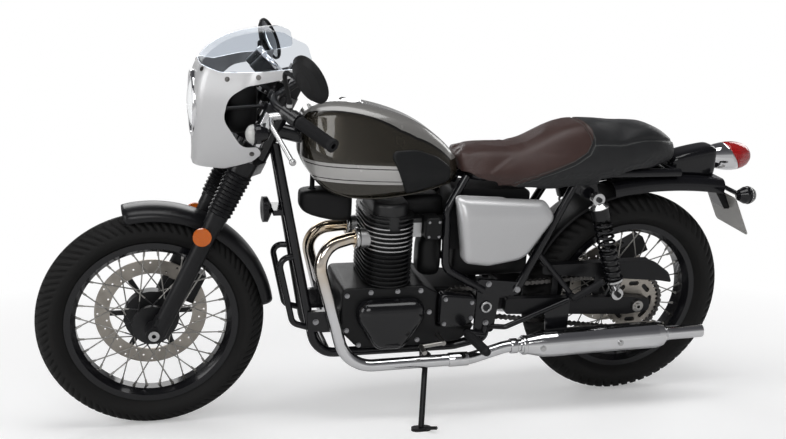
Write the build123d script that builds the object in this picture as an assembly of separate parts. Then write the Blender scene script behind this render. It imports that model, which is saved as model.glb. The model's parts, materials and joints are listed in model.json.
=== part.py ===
from build123d import *
import os
from math import asin, cos, degrees, radians, sin

# Millimetres. The bike is drawn upright: x forward from mid wheelbase, y to the rider's left, z up.
# At the end it is leaned onto its side stand and the origin moves under the middle of its box.
LEAN_DEG = 10.4
WHEELBASE = 1465
RAKE_DEG = 26
TRAIL = 94
FIT = 0.3                # gap between pieces that are clamped or slipped together
PLATE = 3                # thickness of pressed and moulded panels
STANDING = (Align.CENTER, Align.CENTER, Align.MIN)
HANGING = (Align.CENTER, Align.CENTER, Align.MAX)

FRONT_TYRE_R = 318.6
FRONT_TYRE_W = 100
REAR_TYRE_R = 332.6
REAR_TYRE_W = 130
TYRE_WALL = 8
BEAD_R = 228.6
FRONT_RIM_HALF = 30
REAR_RIM_HALF = 40
RIM_FLANGE_T = 4.5
RIM_INNER_R = 210
SPOKE_R = 1.9
SPOKES_PER_SIDE = 18
SPOKE_SWEEP_DEG = 45

AXLE_R = 10
FORK_LEG_Y = 92
FORK_LEG_LEAD = 43
FORK_TUBE_R = 20.5
SLIDER_R = 24
SLIDER_TOP = 372
LOWER_YOKE_BASE = 518
LOWER_YOKE_T = 35
UPPER_YOKE_BASE = 728
UPPER_YOKE_T = 24
STEM_R = 15
HEAD_TUBE_R = 29

FRONT_DISC_R = 160
FRONT_DISC_Y = -58
REAR_DISC_R = 135
REAR_DISC_Y = -82
DISC_T = 5
CHAIN_Y = 84
CHAIN_PITCH = 15.875
REAR_TEETH = 37
FRONT_TEETH = 15
SPROCKET_T = 7

PIVOT = (-237, 352)
ARM_Y = (97, 121)
PIVOT_PLATE_Y = (100, 112)
GEARBOX = (-150, 365)    # output shaft, x and z

ENGINE_X = 62
CASE_HALF = 112
DECK_Z = 428
HEAD_Z = 535
HEAD_TOP_Z = 640
CYL_HALF_X = 72
CYL_HALF_Y = 128
FIN_T = 3.2

PIPE_R = 18
SILENCER_R = 42
RAIL_Y = 75
RAIL_Z = 746.5
RAIL_R = 13
TUBE_R = 14

STAND_PIVOT = (-58, 114, 200)
STAND_FOOT_XY = (-5, 285)     # on the ground, after the lean
STAND_FOLDED = (-0.993, -0.01, -0.12)

LEAN = radians(LEAN_DEG)
RAKE = radians(RAKE_DEG)


def axle_height(tyre_r, tyre_w):
    """Height of an axle above the ground line so that the leaned tyre just touches."""
    return tyre_r + tyre_w / 2 * (1 / cos(LEAN) - 1)


FRONT_AXLE = (WHEELBASE / 2, 0, axle_height(FRONT_TYRE_R, FRONT_TYRE_W))
REAR_AXLE = (-WHEELBASE / 2, 0, axle_height(REAR_TYRE_R, REAR_TYRE_W))
FORK_OFFSET = FRONT_TYRE_R * sin(RAKE) - TRAIL * cos(RAKE)
AXLE_LEAD = FORK_OFFSET - FORK_LEG_LEAD
STEER_FOOT = (FRONT_AXLE[0] - FORK_OFFSET * cos(RAKE), 0, FRONT_AXLE[2] - FORK_OFFSET * sin(RAKE))
FORK = Plane(origin=STEER_FOOT, x_dir=(cos(RAKE), 0, sin(RAKE)), z_dir=(-sin(RAKE), 0, cos(RAKE)))


def on_fork(lead, y, along):
    """A point given along the steering axis, as x, y, z of the bike."""
    return tuple(FORK.from_local_coords(Vector(lead, y, along)))


def both(part):
    """The left piece and its mirror image on the right."""
    return [part, mirror(part, about=Plane.XZ)]


def rod(start, end, radius):
    """A round bar between two points."""
    line = Vector(*end) - Vector(*start)
    return extrude(Plane(origin=start, z_dir=line) * Circle(radius), amount=line.length)


def bent(points, bends, radius):
    """A round bar along straight runs with a bend at each corner."""
    path = FilletPolyline(*points, radius=bends)
    return sweep(Plane(origin=path @ 0, z_dir=path % 0) * Circle(radius), path=path)


def outline(points, radii):
    """A flat face with a rounded corner at each point."""
    return make_face(FilletPolyline(*points, radius=radii, close=True))


def slab(face, y0, y1):
    """A face drawn in x and z, thickened from y0 to y1."""
    return Pos(0, y1, 0) * extrude(Plane.XZ * face, amount=y1 - y0)


def disc(x, z, radius, y0, y1):
    """A round plate across the bike."""
    return Pos(x, y1, z) * extrude(Plane.XZ * Circle(radius), amount=y1 - y0)


def spin(points):
    """A ring about the y axis from a list of radius and y."""
    return revolve(make_face(Polyline(*points, close=True)), axis=Axis.Y)


def dome(x0, x1, edge, rise):
    """A round plug along x from x0 to x1 with a ball-shaped cap of the given rise beyond x1."""
    out = 1 if x1 > x0 else -1
    ball = (edge ** 2 + rise ** 2) / (2 * rise)
    centre = x1 + out * (rise - ball)
    half_way = asin(edge / ball) / 2
    mid = (centre + out * ball * cos(half_way), ball * sin(half_way))
    face = make_face([Line((x0, 0), (x0, edge)), Line((x0, edge), (x1, edge)),
                      ThreePointArc((x1, edge), mid, (x1 + out * rise, 0)), Line((x1 + out * rise, 0),
                                                                                 (x0, 0))])
    return revolve(face, axis=Axis.X)


def body_section(x, low, high, half, flat=0.72, shoulder=0.36, crown=0.52):
    """A rounded six-sided section across the bike, used for the tank and the seat."""
    rise = high - low
    points = [(-flat * half, low), (flat * half, low), (half, low + shoulder * rise),
              (crown * half, high), (-crown * half, high), (-half, low + shoulder * rise)]
    step = min(0.6 * rise, half)
    radii = [0.3 * step, 0.3 * step, 0.5 * step, 0.45 * step, 0.45 * step, 0.5 * step]
    return Plane.YZ.offset(x) * outline(points, radii)


# Wheels

def tyre(tyre_r, tyre_w, rim_half):
    half = tyre_w / 2
    crown = tyre_r - half
    bead = rim_half - FIT
    lip = BEAD_R + RIM_FLANGE_T * 3
    base = BEAD_R + FIT
    outer = [Line((base, bead), (lip, bead)),
             ThreePointArc((lip, bead), ((lip + crown) / 2 - 2, (bead + half) / 2 + 3), (crown, half)),
             ThreePointArc((crown, half), (tyre_r, 0), (crown, -half)),
             ThreePointArc((crown, -half), ((lip + crown) / 2 - 2, -(bead + half) / 2 - 3), (lip, -bead)),
             Line((lip, -bead), (base, -bead))]
    inside = half - TYRE_WALL
    core = bead - TYRE_WALL
    inner = [Line((base, -bead), (base, -core)),
             Line((base, -core), (crown, -inside)),
             ThreePointArc((crown, -inside), (crown + inside, 0), (crown, inside)),
             Line((crown, inside), (base, core)),
             Line((base, core), (base, bead))]
    return revolve(make_face(outer + inner), axis=Axis.Y)


def rim(rim_half):
    lip = rim_half + RIM_FLANGE_T
    tip = BEAD_R + RIM_FLANGE_T * 3 - 1
    well = RIM_INNER_R + 5
    right = [(tip, lip), (tip, rim_half), (BEAD_R, rim_half), (BEAD_R, rim_half - 11),
             (well, rim_half - 20)]
    under = [(RIM_INNER_R, rim_half - 14), (BEAD_R - 5, lip)]
    mirrored = [(r, -y) for r, y in reversed(right)]
    below = [(r, -y) for r, y in reversed(under)]
    return spin(right + mirrored + below + under)


def spokes(left_root, right_root, cross=5):
    """Wire spokes from each hub flange, given as radius and y, to the rim."""
    bars = []
    tip = RIM_INNER_R - 0.8
    step = 360 / SPOKES_PER_SIDE
    for side, (root_r, root_y), turn in ((1, left_root, 0), (-1, right_root, step)):
        for k in range(SPOKES_PER_SIDE):
            leading = 1 if k % 2 == 0 else -1
            hub_angle = radians(step * k + turn)
            rim_angle = hub_angle + leading * radians(SPOKE_SWEEP_DEG)
            start = (root_r * cos(hub_angle), root_y + leading * cross, root_r * sin(hub_angle))
            end = (tip * cos(rim_angle), side * 6, tip * sin(rim_angle))
            bars.append(rod(start, end, SPOKE_R))
    return bars


def front_hub():
    bore = AXLE_R + FIT
    face = FRONT_DISC_Y + DISC_T / 2
    end = FORK_LEG_Y - SLIDER_R - 0.5
    points = [(bore, end), (16, end), (16, 48), (57, 48), (57, 34), (30, 26), (30, -10), (78, -16),
              (78, -48),
              (60, face), (22, face), (22, face - DISC_T - 2), (16, face - DISC_T - 2), (16, -end), (bore,
                                                                                                     -end)]
    return spin(points) + spokes((51, 41), (72, -32))


def rear_hub():
    bore = AXLE_R + FIT
    drum = CHAIN_Y - SPROCKET_T / 2
    face = REAR_DISC_Y + DISC_T / 2
    end = ARM_Y[0] - 0.5
    points = [(bore, end), (18, end), (18, drum), (70, drum), (74, drum - 6), (74, 52), (66, 49), (66, 35),
              (34, 28),
              (34, -28), (66, -35), (66, -49), (46, -56), (46, face), (18, face), (18, -end), (bore, -end)]
    return spin(points) + spokes((60, 42), (60, -42))


def brake_disc(outer, band, hub_r, hole_r, y, holes):
    """A drilled ring carried on six arms."""
    ring = Circle(outer) - Circle(outer - band)
    arms = [Rot(0, 0, 60 * k) * Pos((hub_r + outer - band) / 2, 0) * Rectangle(outer - band - hub_r + 8, 15)
            for k in range(6)]
    plate = ring + (Circle(hub_r) - Circle(hole_r)) + arms
    drill = []
    for k in range(holes):
        for row in range(3):
            turn = 360 / holes * (k + row / 3)
            drill.append(Rot(0, 0, turn) * Pos(outer - band * (0.22 + 0.28 * row), 0) * Circle(3))
    return Pos(0, y + DISC_T / 2, 0) * extrude(Plane.XZ * (plate - drill), amount=DISC_T)


REAR_PITCH_R = CHAIN_PITCH / 2 / sin(radians(180 / REAR_TEETH))
FRONT_PITCH_R = CHAIN_PITCH / 2 / sin(radians(180 / FRONT_TEETH))
CHAIN_CORE = 4.5
CHAIN_PLATE = 7.5


def sprocket():
    tip = REAR_PITCH_R - CHAIN_CORE - 1.5
    root = tip - 6
    step = 360 / REAR_TEETH
    points = []
    for k in range(REAR_TEETH):
        for radius, part in ((root, 0), (root, 0.3), (tip, 0.5), (tip, 0.8)):
            angle = radians(step * (k + part))
            points.append((radius * cos(angle), radius * sin(angle)))
    holes = [Rot(0, 0, 45 * k) * Pos(60, 0) * SlotOverall(34, 14, rotation=90) for k in range(8)]
    plate = make_face(Polyline(*points, close=True)) - Circle(22) - holes
    return Pos(0, CHAIN_Y + SPROCKET_T / 2, 0) * extrude(Plane.XZ * plate, amount=SPROCKET_T)


def belt(grow):
    """The path round both chain wheels, moved out by grow, as a flat face."""
    rear = Vector(REAR_AXLE[0], REAR_AXLE[2])
    front = Vector(*GEARBOX)
    span = front - rear
    big = REAR_PITCH_R + grow
    small = FRONT_PITCH_R + grow
    tilt = degrees((big - small) / span.length)
    slope = degrees(span.Y / span.X)
    points = []
    for centre, radius, sense in ((rear, big, 1), (front, small, 1), (front, small, -1), (rear, big, -1)):
        angle = radians(slope + sense * (90 - tilt))
        points.append((centre.X + radius * cos(angle), centre.Y + radius * sin(angle)))
    back = (rear.X - big * cos(radians(slope)), rear.Y - big * sin(radians(slope)))
    nose = (front.X + small * cos(radians(slope)), front.Y + small * sin(radians(slope)))
    edges = [Line(points[0], points[1]), ThreePointArc(points[1], nose, points[2]),
             Line(points[2], points[3]), ThreePointArc(points[3], back, points[0])]
    return make_face(edges)


def chain():
    plates = belt(CHAIN_PLATE) - belt(-CHAIN_PLATE)
    core = belt(CHAIN_CORE) - belt(-CHAIN_CORE)
    return slab(plates, CHAIN_Y - 8, CHAIN_Y - 5) + slab(core, CHAIN_Y - 5, CHAIN_Y + 5) \
        + slab(plates, CHAIN_Y + 5, CHAIN_Y + 8)


# Fork and what turns with it

def slider():
    leg = Pos(FORK_LEG_LEAD, FORK_LEG_Y, 0) * Cylinder(SLIDER_R, SLIDER_TOP, align=STANDING)
    collar = Pos(FORK_LEG_LEAD, FORK_LEG_Y, SLIDER_TOP - 26) * Cylinder(
        SLIDER_R + 3, 26, align=STANDING)
    boss = Pos(FORK_OFFSET, FORK_LEG_Y, 0) * Rot(90, 0, 0) * Cylinder(22, 2 * SLIDER_R - 2)
    foot = Pos(FORK_LEG_LEAD + AXLE_LEAD / 2, FORK_LEG_Y, 14) * Box(SLIDER_R * 1.5, SLIDER_R * 1.6, 60)
    bore = Pos(FORK_OFFSET, FORK_LEG_Y, 0) * Rot(90, 0, 0) * Cylinder(AXLE_R + FIT, 4 * SLIDER_R)
    return FORK * (leg + collar + boss + foot - bore)


def gaiter():
    ribs = 11
    low = SLIDER_TOP + FIT
    high = LOWER_YOKE_BASE - FIT
    pitch = (high - low - 16) / ribs
    inner = FORK_TUBE_R + FIT
    points = [(inner, low), (29, low), (29, low + 10)]
    for k in range(ribs):
        grow = 4 * k / ribs
        points.append((29 + grow, low + 10 + pitch * k + 0.15 * pitch))
        points.append((34 + grow, low + 10 + pitch * (k + 0.5)))
    points += [(30, high - 6), (33, high - 6), (33, high), (inner, high)]
    ring = revolve(Plane.XZ * make_face(Polyline(*points, close=True)), axis=Axis.Z)
    return FORK * Pos(FORK_LEG_LEAD, FORK_LEG_Y, 0) * ring


def fork_tube():
    base = SLIDER_TOP + FIT
    top = UPPER_YOKE_BASE + UPPER_YOKE_T
    tube = Pos(FORK_LEG_LEAD, FORK_LEG_Y, base) * Cylinder(
        FORK_TUBE_R, top - base, align=STANDING)
    cap = Pos(FORK_LEG_LEAD, FORK_LEG_Y, top) * Cylinder(10, 4, align=STANDING)
    return FORK * (tube + cap)


def yoke_plate(ear, boss, base, thick):
    plan = make_hull((Pos(FORK_LEG_LEAD, FORK_LEG_Y) * Circle(ear)).edges() + Circle(boss).edges())
    plan = plan + mirror(plan, about=Plane.XZ)
    holes = [Pos(FORK_LEG_LEAD, side * FORK_LEG_Y) * Circle(FORK_TUBE_R + FIT) for side in (1, -1)]
    return Pos(0, 0, base) * extrude(plan - holes, amount=thick)


CLAMP_Y = 45
BAR_R = 11.1
BAR_ALONG = UPPER_YOKE_BASE + UPPER_YOKE_T + 58
BAR_LEAD = 5


def fork_yokes():
    stem = Pos(0, 0, LOWER_YOKE_BASE) * Cylinder(
        STEM_R, UPPER_YOKE_BASE + UPPER_YOKE_T - LOWER_YOKE_BASE, align=STANDING)
    lower = yoke_plate(34, 31, LOWER_YOKE_BASE, LOWER_YOKE_T) + stem
    upper = yoke_plate(28, 29, UPPER_YOKE_BASE, UPPER_YOKE_T)
    upper -= Pos(0, 0, UPPER_YOKE_BASE) * Cylinder(STEM_R + FIT, 200)
    for side in (1, -1):
        upper += Pos(BAR_LEAD, side * CLAMP_Y, UPPER_YOKE_BASE + UPPER_YOKE_T) * Box(
            34, 28, 76, align=STANDING)
    upper -= Pos(BAR_LEAD, 0, BAR_ALONG) * Rot(90, 0, 0) * Cylinder(BAR_R + FIT, 3 * CLAMP_Y)
    return [FORK * lower, FORK * upper]


BAR_MID = on_fork(BAR_LEAD, 0, BAR_ALONG)
BAR_TIP = (296, 345, 908)
BAR_ELBOW = (431, 156, 985)
BAR_SHOULDER = (BAR_MID[0], 76, BAR_MID[2])


def grip_point(share):
    """A point on the straight grip run, from the bar's tip to its elbow."""
    return tuple(a + (b - a) * share for a, b in zip(BAR_TIP, BAR_ELBOW))


def handlebar():
    right = [(x, -y, z) for x, y, z in (BAR_TIP, BAR_ELBOW, BAR_SHOULDER)]
    points = [BAR_TIP, BAR_ELBOW, BAR_SHOULDER] + right[::-1]
    bar = bent(points, [42, 30, 30, 42], BAR_R)
    for side in (1, -1):
        tip = (BAR_TIP[0], side * BAR_TIP[1], BAR_TIP[2])
        deep = grip_point(0.3)
        bar -= rod(tip, (deep[0], side * deep[1], deep[2]), BAR_R - 3)
    return bar


def grip():
    sleeve = rod(grip_point(0), grip_point(0.52), 16) + rod(grip_point(0), grip_point(0.03), 18)
    return sleeve - rod(grip_point(-0.2), grip_point(0.8), BAR_R + FIT)


PERCH = grip_point(0.68)
PERCH_TOP = PERCH[2] + 28


def hand_lever():
    housing = rod(grip_point(0.53), grip_point(0.63), 20) + rod(grip_point(0.63), grip_point(0.76), 17)
    arm = rod(PERCH, (PERCH[0] + 48, PERCH[1] - 12, PERCH[2] - 8), 10)
    stud = rod(PERCH, (PERCH[0], PERCH[1], PERCH_TOP), 9)
    blade = bent([(PERCH[0] + 44, PERCH[1] - 12, PERCH[2] - 8),
                  (PERCH[0] + 50, PERCH[1] + 32, PERCH[2] - 22),
                  (PERCH[0] + 10, PERCH[1] + 128, PERCH[2] - 92)], [30], 6)
    knob = Pos(PERCH[0] + 10, PERCH[1] + 128, PERCH[2] - 92) * Sphere(9)
    return housing + arm + stud + blade + knob - rod(grip_point(0.3), grip_point(0.9), BAR_R + FIT)


MIRROR = (362, 340, 1072)
MIRROR_R = 64
MIRROR_FACE = (-0.83, -0.37, 0.40)


def mirror_head():
    facing = Plane(origin=MIRROR, z_dir=MIRROR_FACE)
    shell = [(0, -22), (30, -18), (54, -8), (MIRROR_R, 2), (MIRROR_R, 8), (0, 8)]
    head = facing * revolve(Plane.XZ * make_face(Polyline(*shell, close=True)), axis=Axis.Z)
    back = tuple(facing.from_local_coords(Vector(0, 0, -14)))
    nut = rod((PERCH[0], PERCH[1], PERCH_TOP + FIT), (PERCH[0], PERCH[1], PERCH_TOP + 12), 8)
    stem = bent([(PERCH[0], PERCH[1], PERCH_TOP + 6), (PERCH[0] + 20, PERCH[1] + 12, MIRROR[2] + 6), back],
                [28], 6)
    return head + nut + stem


LAMP_Z = 948
LAMP_R = 86
LAMP_FRONT = 612


def headlamp():
    shell = [(0, LAMP_FRONT - 100), (45, LAMP_FRONT - 92), (76, LAMP_FRONT - 60), (LAMP_R, LAMP_FRONT - 20),
             (LAMP_R + 3, LAMP_FRONT - 8), (LAMP_R + 3, LAMP_FRONT + 6), (LAMP_R - 6, LAMP_FRONT + 6),
             (LAMP_R - 6, LAMP_FRONT - 14), (60, LAMP_FRONT - 52), (26, LAMP_FRONT - 72), (0,
                                                                                           LAMP_FRONT - 74)]
    bowl = revolve(make_face(Polyline(*[(x, r) for r, x in shell], close=True)), axis=Axis.X)
    return Pos(0, 0, LAMP_Z) * bowl


def headlamp_lens():
    return Pos(0, 0, LAMP_Z) * dome(LAMP_FRONT - 6, LAMP_FRONT + 4, LAMP_R - 6 - FIT, 15)


def clamp_ring(along, height):
    """A ring round the left fork tube."""
    ring = Cylinder(FORK_TUBE_R + 6, height) - Cylinder(FORK_TUBE_R + FIT, height)
    return FORK * Pos(FORK_LEG_LEAD, FORK_LEG_Y, along) * ring


def along_for(z):
    """Where the fork leg passes height z, measured along the steering axis."""
    return (z - STEER_FOOT[2] - FORK_LEG_LEAD * sin(RAKE)) / cos(RAKE)


def fairing_stay():
    """Left lamp bracket and fairing mount, each on a ring round the fork tube."""
    high = along_for(LAMP_Z)
    low = along_for(LUG[2])
    ring = clamp_ring(high, 22)
    bar = rod(on_fork(FORK_LEG_LEAD + FORK_TUBE_R + 4, FORK_LEG_Y, high),
              (LAMP_FRONT - 46, LAMP_R + FIT + 5, LAMP_Z), 5)
    x, y, z = on_fork(FORK_LEG_LEAD, FORK_LEG_Y, low)
    foot = clamp_ring(low, 22) + rod((x, y + FORK_TUBE_R + 3, z), (LUG[0], LUG[1] - PLATE - 1, LUG[2]), 6)
    return [ring + bar, foot]


# Half width of the fairing at four heights, and where its sides meet the round front
FAIRING_ROWS = ((788, 122), (880, 168), (1000, 176), (1150, 120))
FAIRING_NOSE = 619
LUG = (474, 146, 842)


def fairing_shell(shrink):
    """The fairing's full outside as lofted rows, drawn in by shrink."""
    rows = []
    for z, half in FAIRING_ROWS:
        lean_back = 0 if z < 1040 else (z - 1040) * 1.9
        nose = FAIRING_NOSE - lean_back - shrink
        wide = half - shrink
        points = [(250, -wide), (nose - 130, -wide), (nose, -wide * 0.5), (nose, wide * 0.5),
                  (nose - 130, wide), (250, wide)]
        path = FilletPolyline(*points, radius=[80, 60, 60, 80])
        face = make_face([path, Line((250, wide), (250, -wide))])
        rows.append(Plane.XY.offset(z) * face)
    return loft(rows)


SEAM_LINE = ((372, 1068), (462, 1060), (549, 1050), (594, 1062), (640, 1062))
SEAM_BENDS = (0, 30, 40, 30, 0)
SIDE_LINE = ((640, 780), (538, 789), (470, 820), (446, 843), (462, 862), (500, 858), (548, 930), (536, 990),
             (490, 1024),
             (376, 1046))
SIDE_BENDS = (0, 40, 30, 14, 12, 30, 45, 60, 60, 6)
SCREEN_LINE = ((640, 1165), (420, 1165), (330, 1128), (318, 1080))
SCREEN_BENDS = (0, 60, 20, 12)


def fairing(shell):
    keep = slab(outline(SEAM_LINE + SIDE_LINE, SEAM_BENDS + SIDE_BENDS), -250, 250)
    lamp_hole = Pos(LAMP_FRONT, 0, LAMP_Z) * Rot(0, 90, 0) * Cylinder(LAMP_R + 4, 120)
    return (shell & keep) - lamp_hole


def windscreen(shell):
    line = outline(SEAM_LINE + SCREEN_LINE, SEAM_BENDS + SCREEN_BENDS)
    return shell & Pos(0, 0, FIT) * slab(line, -250, 250)


def gauges():
    foot = on_fork(40, 0, UPPER_YOKE_BASE + UPPER_YOKE_T + FIT)
    shelf = (foot[0] + 32, 0, foot[2] + 56)
    tilt = Plane(origin=shelf, x_dir=(0, 1, 0), z_dir=(-0.72, 0, 0.69))
    cups = [tilt * Pos(side * 46, 0, 0) * Cylinder(41, 52) for side in (1, -1)]
    plate = tilt * Pos(0, 0, -24) * Box(110, 40, 6)
    post = FORK * Pos(40, 0, UPPER_YOKE_BASE + UPPER_YOKE_T + FIT) * Box(
        16, 40, 20, align=STANDING)
    strut = rod(on_fork(40, 0, UPPER_YOKE_BASE + UPPER_YOKE_T + 12),
                tuple(tilt.from_local_coords(Vector(0, 0, -22))), 9)
    return plate + cups + post + strut


SIGNAL_R = 26


def front_signal():
    along = along_for(894)
    x, y, z = on_fork(FORK_LEG_LEAD, FORK_LEG_Y, along)
    lamp_y = y + FORK_TUBE_R + 6 + SIGNAL_R + 6
    bulb = [(x - 14, 0), (x - 6, 16), (x + 14, SIGNAL_R), (x + 34, SIGNAL_R), (x + 48, 16), (x + 52, 0)]
    body = Pos(0, lamp_y, z) * revolve(make_face(Polyline(*bulb, close=True)), axis=Axis.X)
    return clamp_ring(along, 18) + rod((x + 4, y + FORK_TUBE_R + 3, z), (x + 16, lamp_y, z), 7) + body


def front_fender():
    outer = 347
    half = 62
    ring = RectangleRounded(60, 2 * half, 26) - RectangleRounded(60 - 2 * PLATE, 2 * (half - PLATE), 23)
    arch = (Pos(outer - 30, 0) * ring) & (Pos(outer, 0) * Rectangle(72, 4 * half))
    hoop = revolve(Plane.XY * arch, axis=Axis.Y, revolution_arc=94)
    hoop = Rot(0, -77, 0) * Rot(0, -94, 0) * hoop
    hoop = Pos(*FRONT_AXLE) * hoop
    lug_x, lug_y, lug_z = on_fork(FORK_LEG_LEAD, FORK_LEG_Y, 306)
    reach = FORK_LEG_Y - SLIDER_R - FIT - half + PLATE
    lugs = [Pos(lug_x, side * (half - PLATE + reach / 2), lug_z) * Box(44, reach, 46) for side in (1, -1)]
    return hoop + lugs


def reflector():
    x, y, z = on_fork(FORK_LEG_LEAD + 18, FORK_LEG_Y + SLIDER_R + FIT, 312)
    return disc(x, z, 25, y, y + 9)


def front_caliper():
    """Sliding caliper behind the right leg, straddling the disc."""
    lead = FORK_LEG_LEAD - SLIDER_R - 30
    body = Pos(lead, FRONT_DISC_Y - 11.5, 118) * Box(58, 51, 92)
    slot = Pos(FORK_OFFSET, FRONT_DISC_Y, 0) * Rot(90, 0, 0) * Cylinder(FRONT_DISC_R + 5, DISC_T + 4)
    mount = Pos(FORK_LEG_LEAD - SLIDER_R - FIT - 8, -FORK_LEG_Y + 8, 118) * Box(16, 22, 70)
    spare = Pos(FORK_LEG_LEAD, -FORK_LEG_Y, 118) * Cylinder(SLIDER_R + FIT, 300)
    return FORK * (body - slot + mount - spare)


def front_axle():
    reach = FORK_LEG_Y + SLIDER_R
    bar = disc(FRONT_AXLE[0], FRONT_AXLE[2], AXLE_R, -reach - 4, reach + 4)
    heads = disc(FRONT_AXLE[0], FRONT_AXLE[2], 15, reach + FIT, reach + 8) \
        + disc(FRONT_AXLE[0], FRONT_AXLE[2], 15, -reach - 8, -reach - FIT)
    return bar + heads - disc(FRONT_AXLE[0], FRONT_AXLE[2], 6, -200, 200)


# Frame and engine

HEAD_LOW = LOWER_YOKE_BASE + LOWER_YOKE_T + 0.5
HEAD_HIGH = UPPER_YOKE_BASE - 0.5
CRADLE_Z = 222
CRADLE_Y = 88
SHOCK_TOP = (-552, 686)
SHOCK_FOOT = (-653, 381)
SHOCK_Y = 130
SPINE_END = (-150, 731)
HORN_BACK = 396
HORN_Z = 640


def side_tubes():
    """The tubes of the left half of the frame."""
    neck = on_fork(-HEAD_TUBE_R + 5, 14, HEAD_LOW + 60)
    down = bent([neck, (272, CRADLE_Y, CRADLE_Z), (-150, CRADLE_Y, CRADLE_Z), (-238, 106, 250),
                 (-242, 106, 290)],
                [70, 60, 24], TUBE_R)
    rail = bent([(-150, 18, RAIL_Z), (-196, RAIL_Y, RAIL_Z), (-846, RAIL_Y, RAIL_Z)], [40], RAIL_R)
    mid = bent([(-160, 68, RAIL_Z), (-102, 86, 650), (-104, 98, 474), (-226, 109, 404)], [40, 40], 12)
    strut = rod((-328, 108, 392), (-508, 80, 738), RAIL_R)
    peg_stay = bent([(-395, 96, 512), (-508, 138, 378), (-296, 134, 292), (-258, 108, 285)], [18, 20], 8)
    guard = bent([(338, 53, 512), (384, 64, 512), (340, 74, 316), (289, 79, 300)], [26, 26], 9)
    bracket = bent([(-238, 112, 262), (-172, 130, 284), (-172, 145, 284)], [10], 9)
    return [down, rail, mid, strut, peg_stay, guard, bracket]


def side_plates():
    """Plates and lugs of the left half of the frame."""
    pivot = outline([(-206, 440), (-350, 424), (-338, 386), (-278, 382), (-266, 270), (-206, 262)],
                    [10, 8, 8, 10, 10, 8])
    hanger = outline([(-420, 345), (-500, 372), (-500, 250), (-430, 250)], [6, 6, 12, 12])
    gusset = outline([(-488, 700), (-556, 668), (-572, 690), (-560, 735), (-498, 738)], [6, 14, 14, 6, 6])
    lug = Pos(252, CRADLE_Y, 325) * Box(94, 16, 62)
    low_lug = Pos(0, CRADLE_Y - 6, 238 - FIT) * Box(60, 24, 24, align=HANGING)
    return [slab(pivot, *PIVOT_PLATE_Y), slab(hanger, 127, 131.5), slab(gusset, 84, 94), lug, low_lug,
            disc(SHOCK_TOP[0], SHOCK_TOP[1], 8, 84, SHOCK_Y + 18), disc(-496, 386, 11, 127, 146)]


STAND_UP = Vector(0, -sin(LEAN), cos(LEAN))
STAND_FOOT = Vector(STAND_FOOT_XY[0], STAND_FOOT_XY[1] * cos(LEAN), STAND_FOOT_XY[1] * sin(LEAN))
STAND_DOWN = (STAND_FOOT - Vector(*STAND_PIVOT)).normalized()
STAND_AXIS = STAND_DOWN.cross(Vector(*STAND_FOLDED)).normalized()
STAND_PIN_R = 7
STAND_EYE_T = 20


def stand_pin():
    """Pivot pin and bracket that carry the stand on the left cradle rail."""
    pin_plane = Plane(origin=STAND_PIVOT, x_dir=(1, 0, 0), z_dir=STAND_AXIS)
    low = -STAND_EYE_T / 2 - FIT
    pin = pin_plane * Pos(0, 0, STAND_EYE_T / 2 + 2) * Cylinder(
        STAND_PIN_R, STAND_EYE_T + 14, align=HANGING)
    plate = pin_plane * Pos(0, 0, low) * Cylinder(17, 9, align=HANGING)
    rail = pin_plane.to_local_coords(Vector(STAND_PIVOT[0], CRADLE_Y, CRADLE_Z))
    web = make_hull(Circle(12).edges() + (Pos(rail.X, rail.Y) * Circle(10)).edges())
    return pin + plate + pin_plane * Pos(0, 0, low) * extrude(web, amount=-9)


def frame():
    head = FORK * Pos(0, 0, HEAD_LOW) * Cylinder(HEAD_TUBE_R, HEAD_HIGH - HEAD_LOW,
                                                 align=STANDING)
    spine = rod(on_fork(0, 0, HEAD_LOW + 92), (SPINE_END[0], 0, SPINE_END[1]), 22)
    cross = [disc(x, z, 11, -half, half) for x, z, half in ((-150, RAIL_Z, 30), (-560, RAIL_Z, RAIL_Y),
                                                           (-150, CRADLE_Z, CRADLE_Y), (236, CRADLE_Z,
                                                                                        CRADLE_Y))]
    tail = disc(FENDER_X, RAIL_Z, RAIL_R, -RAIL_Y, RAIL_Y)
    bolt = disc(PIVOT[0], PIVOT[1], AXLE_R, -PIVOT_PLATE_Y[1] - 8, PIVOT_PLATE_Y[1] + 8)
    horn_tab = Pos(HORN_BACK - FIT, 0, HORN_Z) * Box(44, 80, 16,
                                                     align=(Align.MAX, Align.CENTER, Align.CENTER))
    tubes = []
    for piece in side_tubes() + side_plates():
        tubes += both(piece)
    whole = head + spine + cross + tail + bolt + horn_tab + tubes + stand_pin()
    return whole - FORK * Pos(0, 0, HEAD_LOW) * Cylinder(STEM_R + FIT, 800)


ARM_TOP = ((-296, 377), (-700, 364))


def arm_top(x):
    """Height of the swingarm's upper edge at x."""
    share = (ARM_TOP[0][0] - x) / (ARM_TOP[0][0] - ARM_TOP[1][0])
    return ARM_TOP[0][1] + (ARM_TOP[1][1] - ARM_TOP[0][1]) * share


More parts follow.
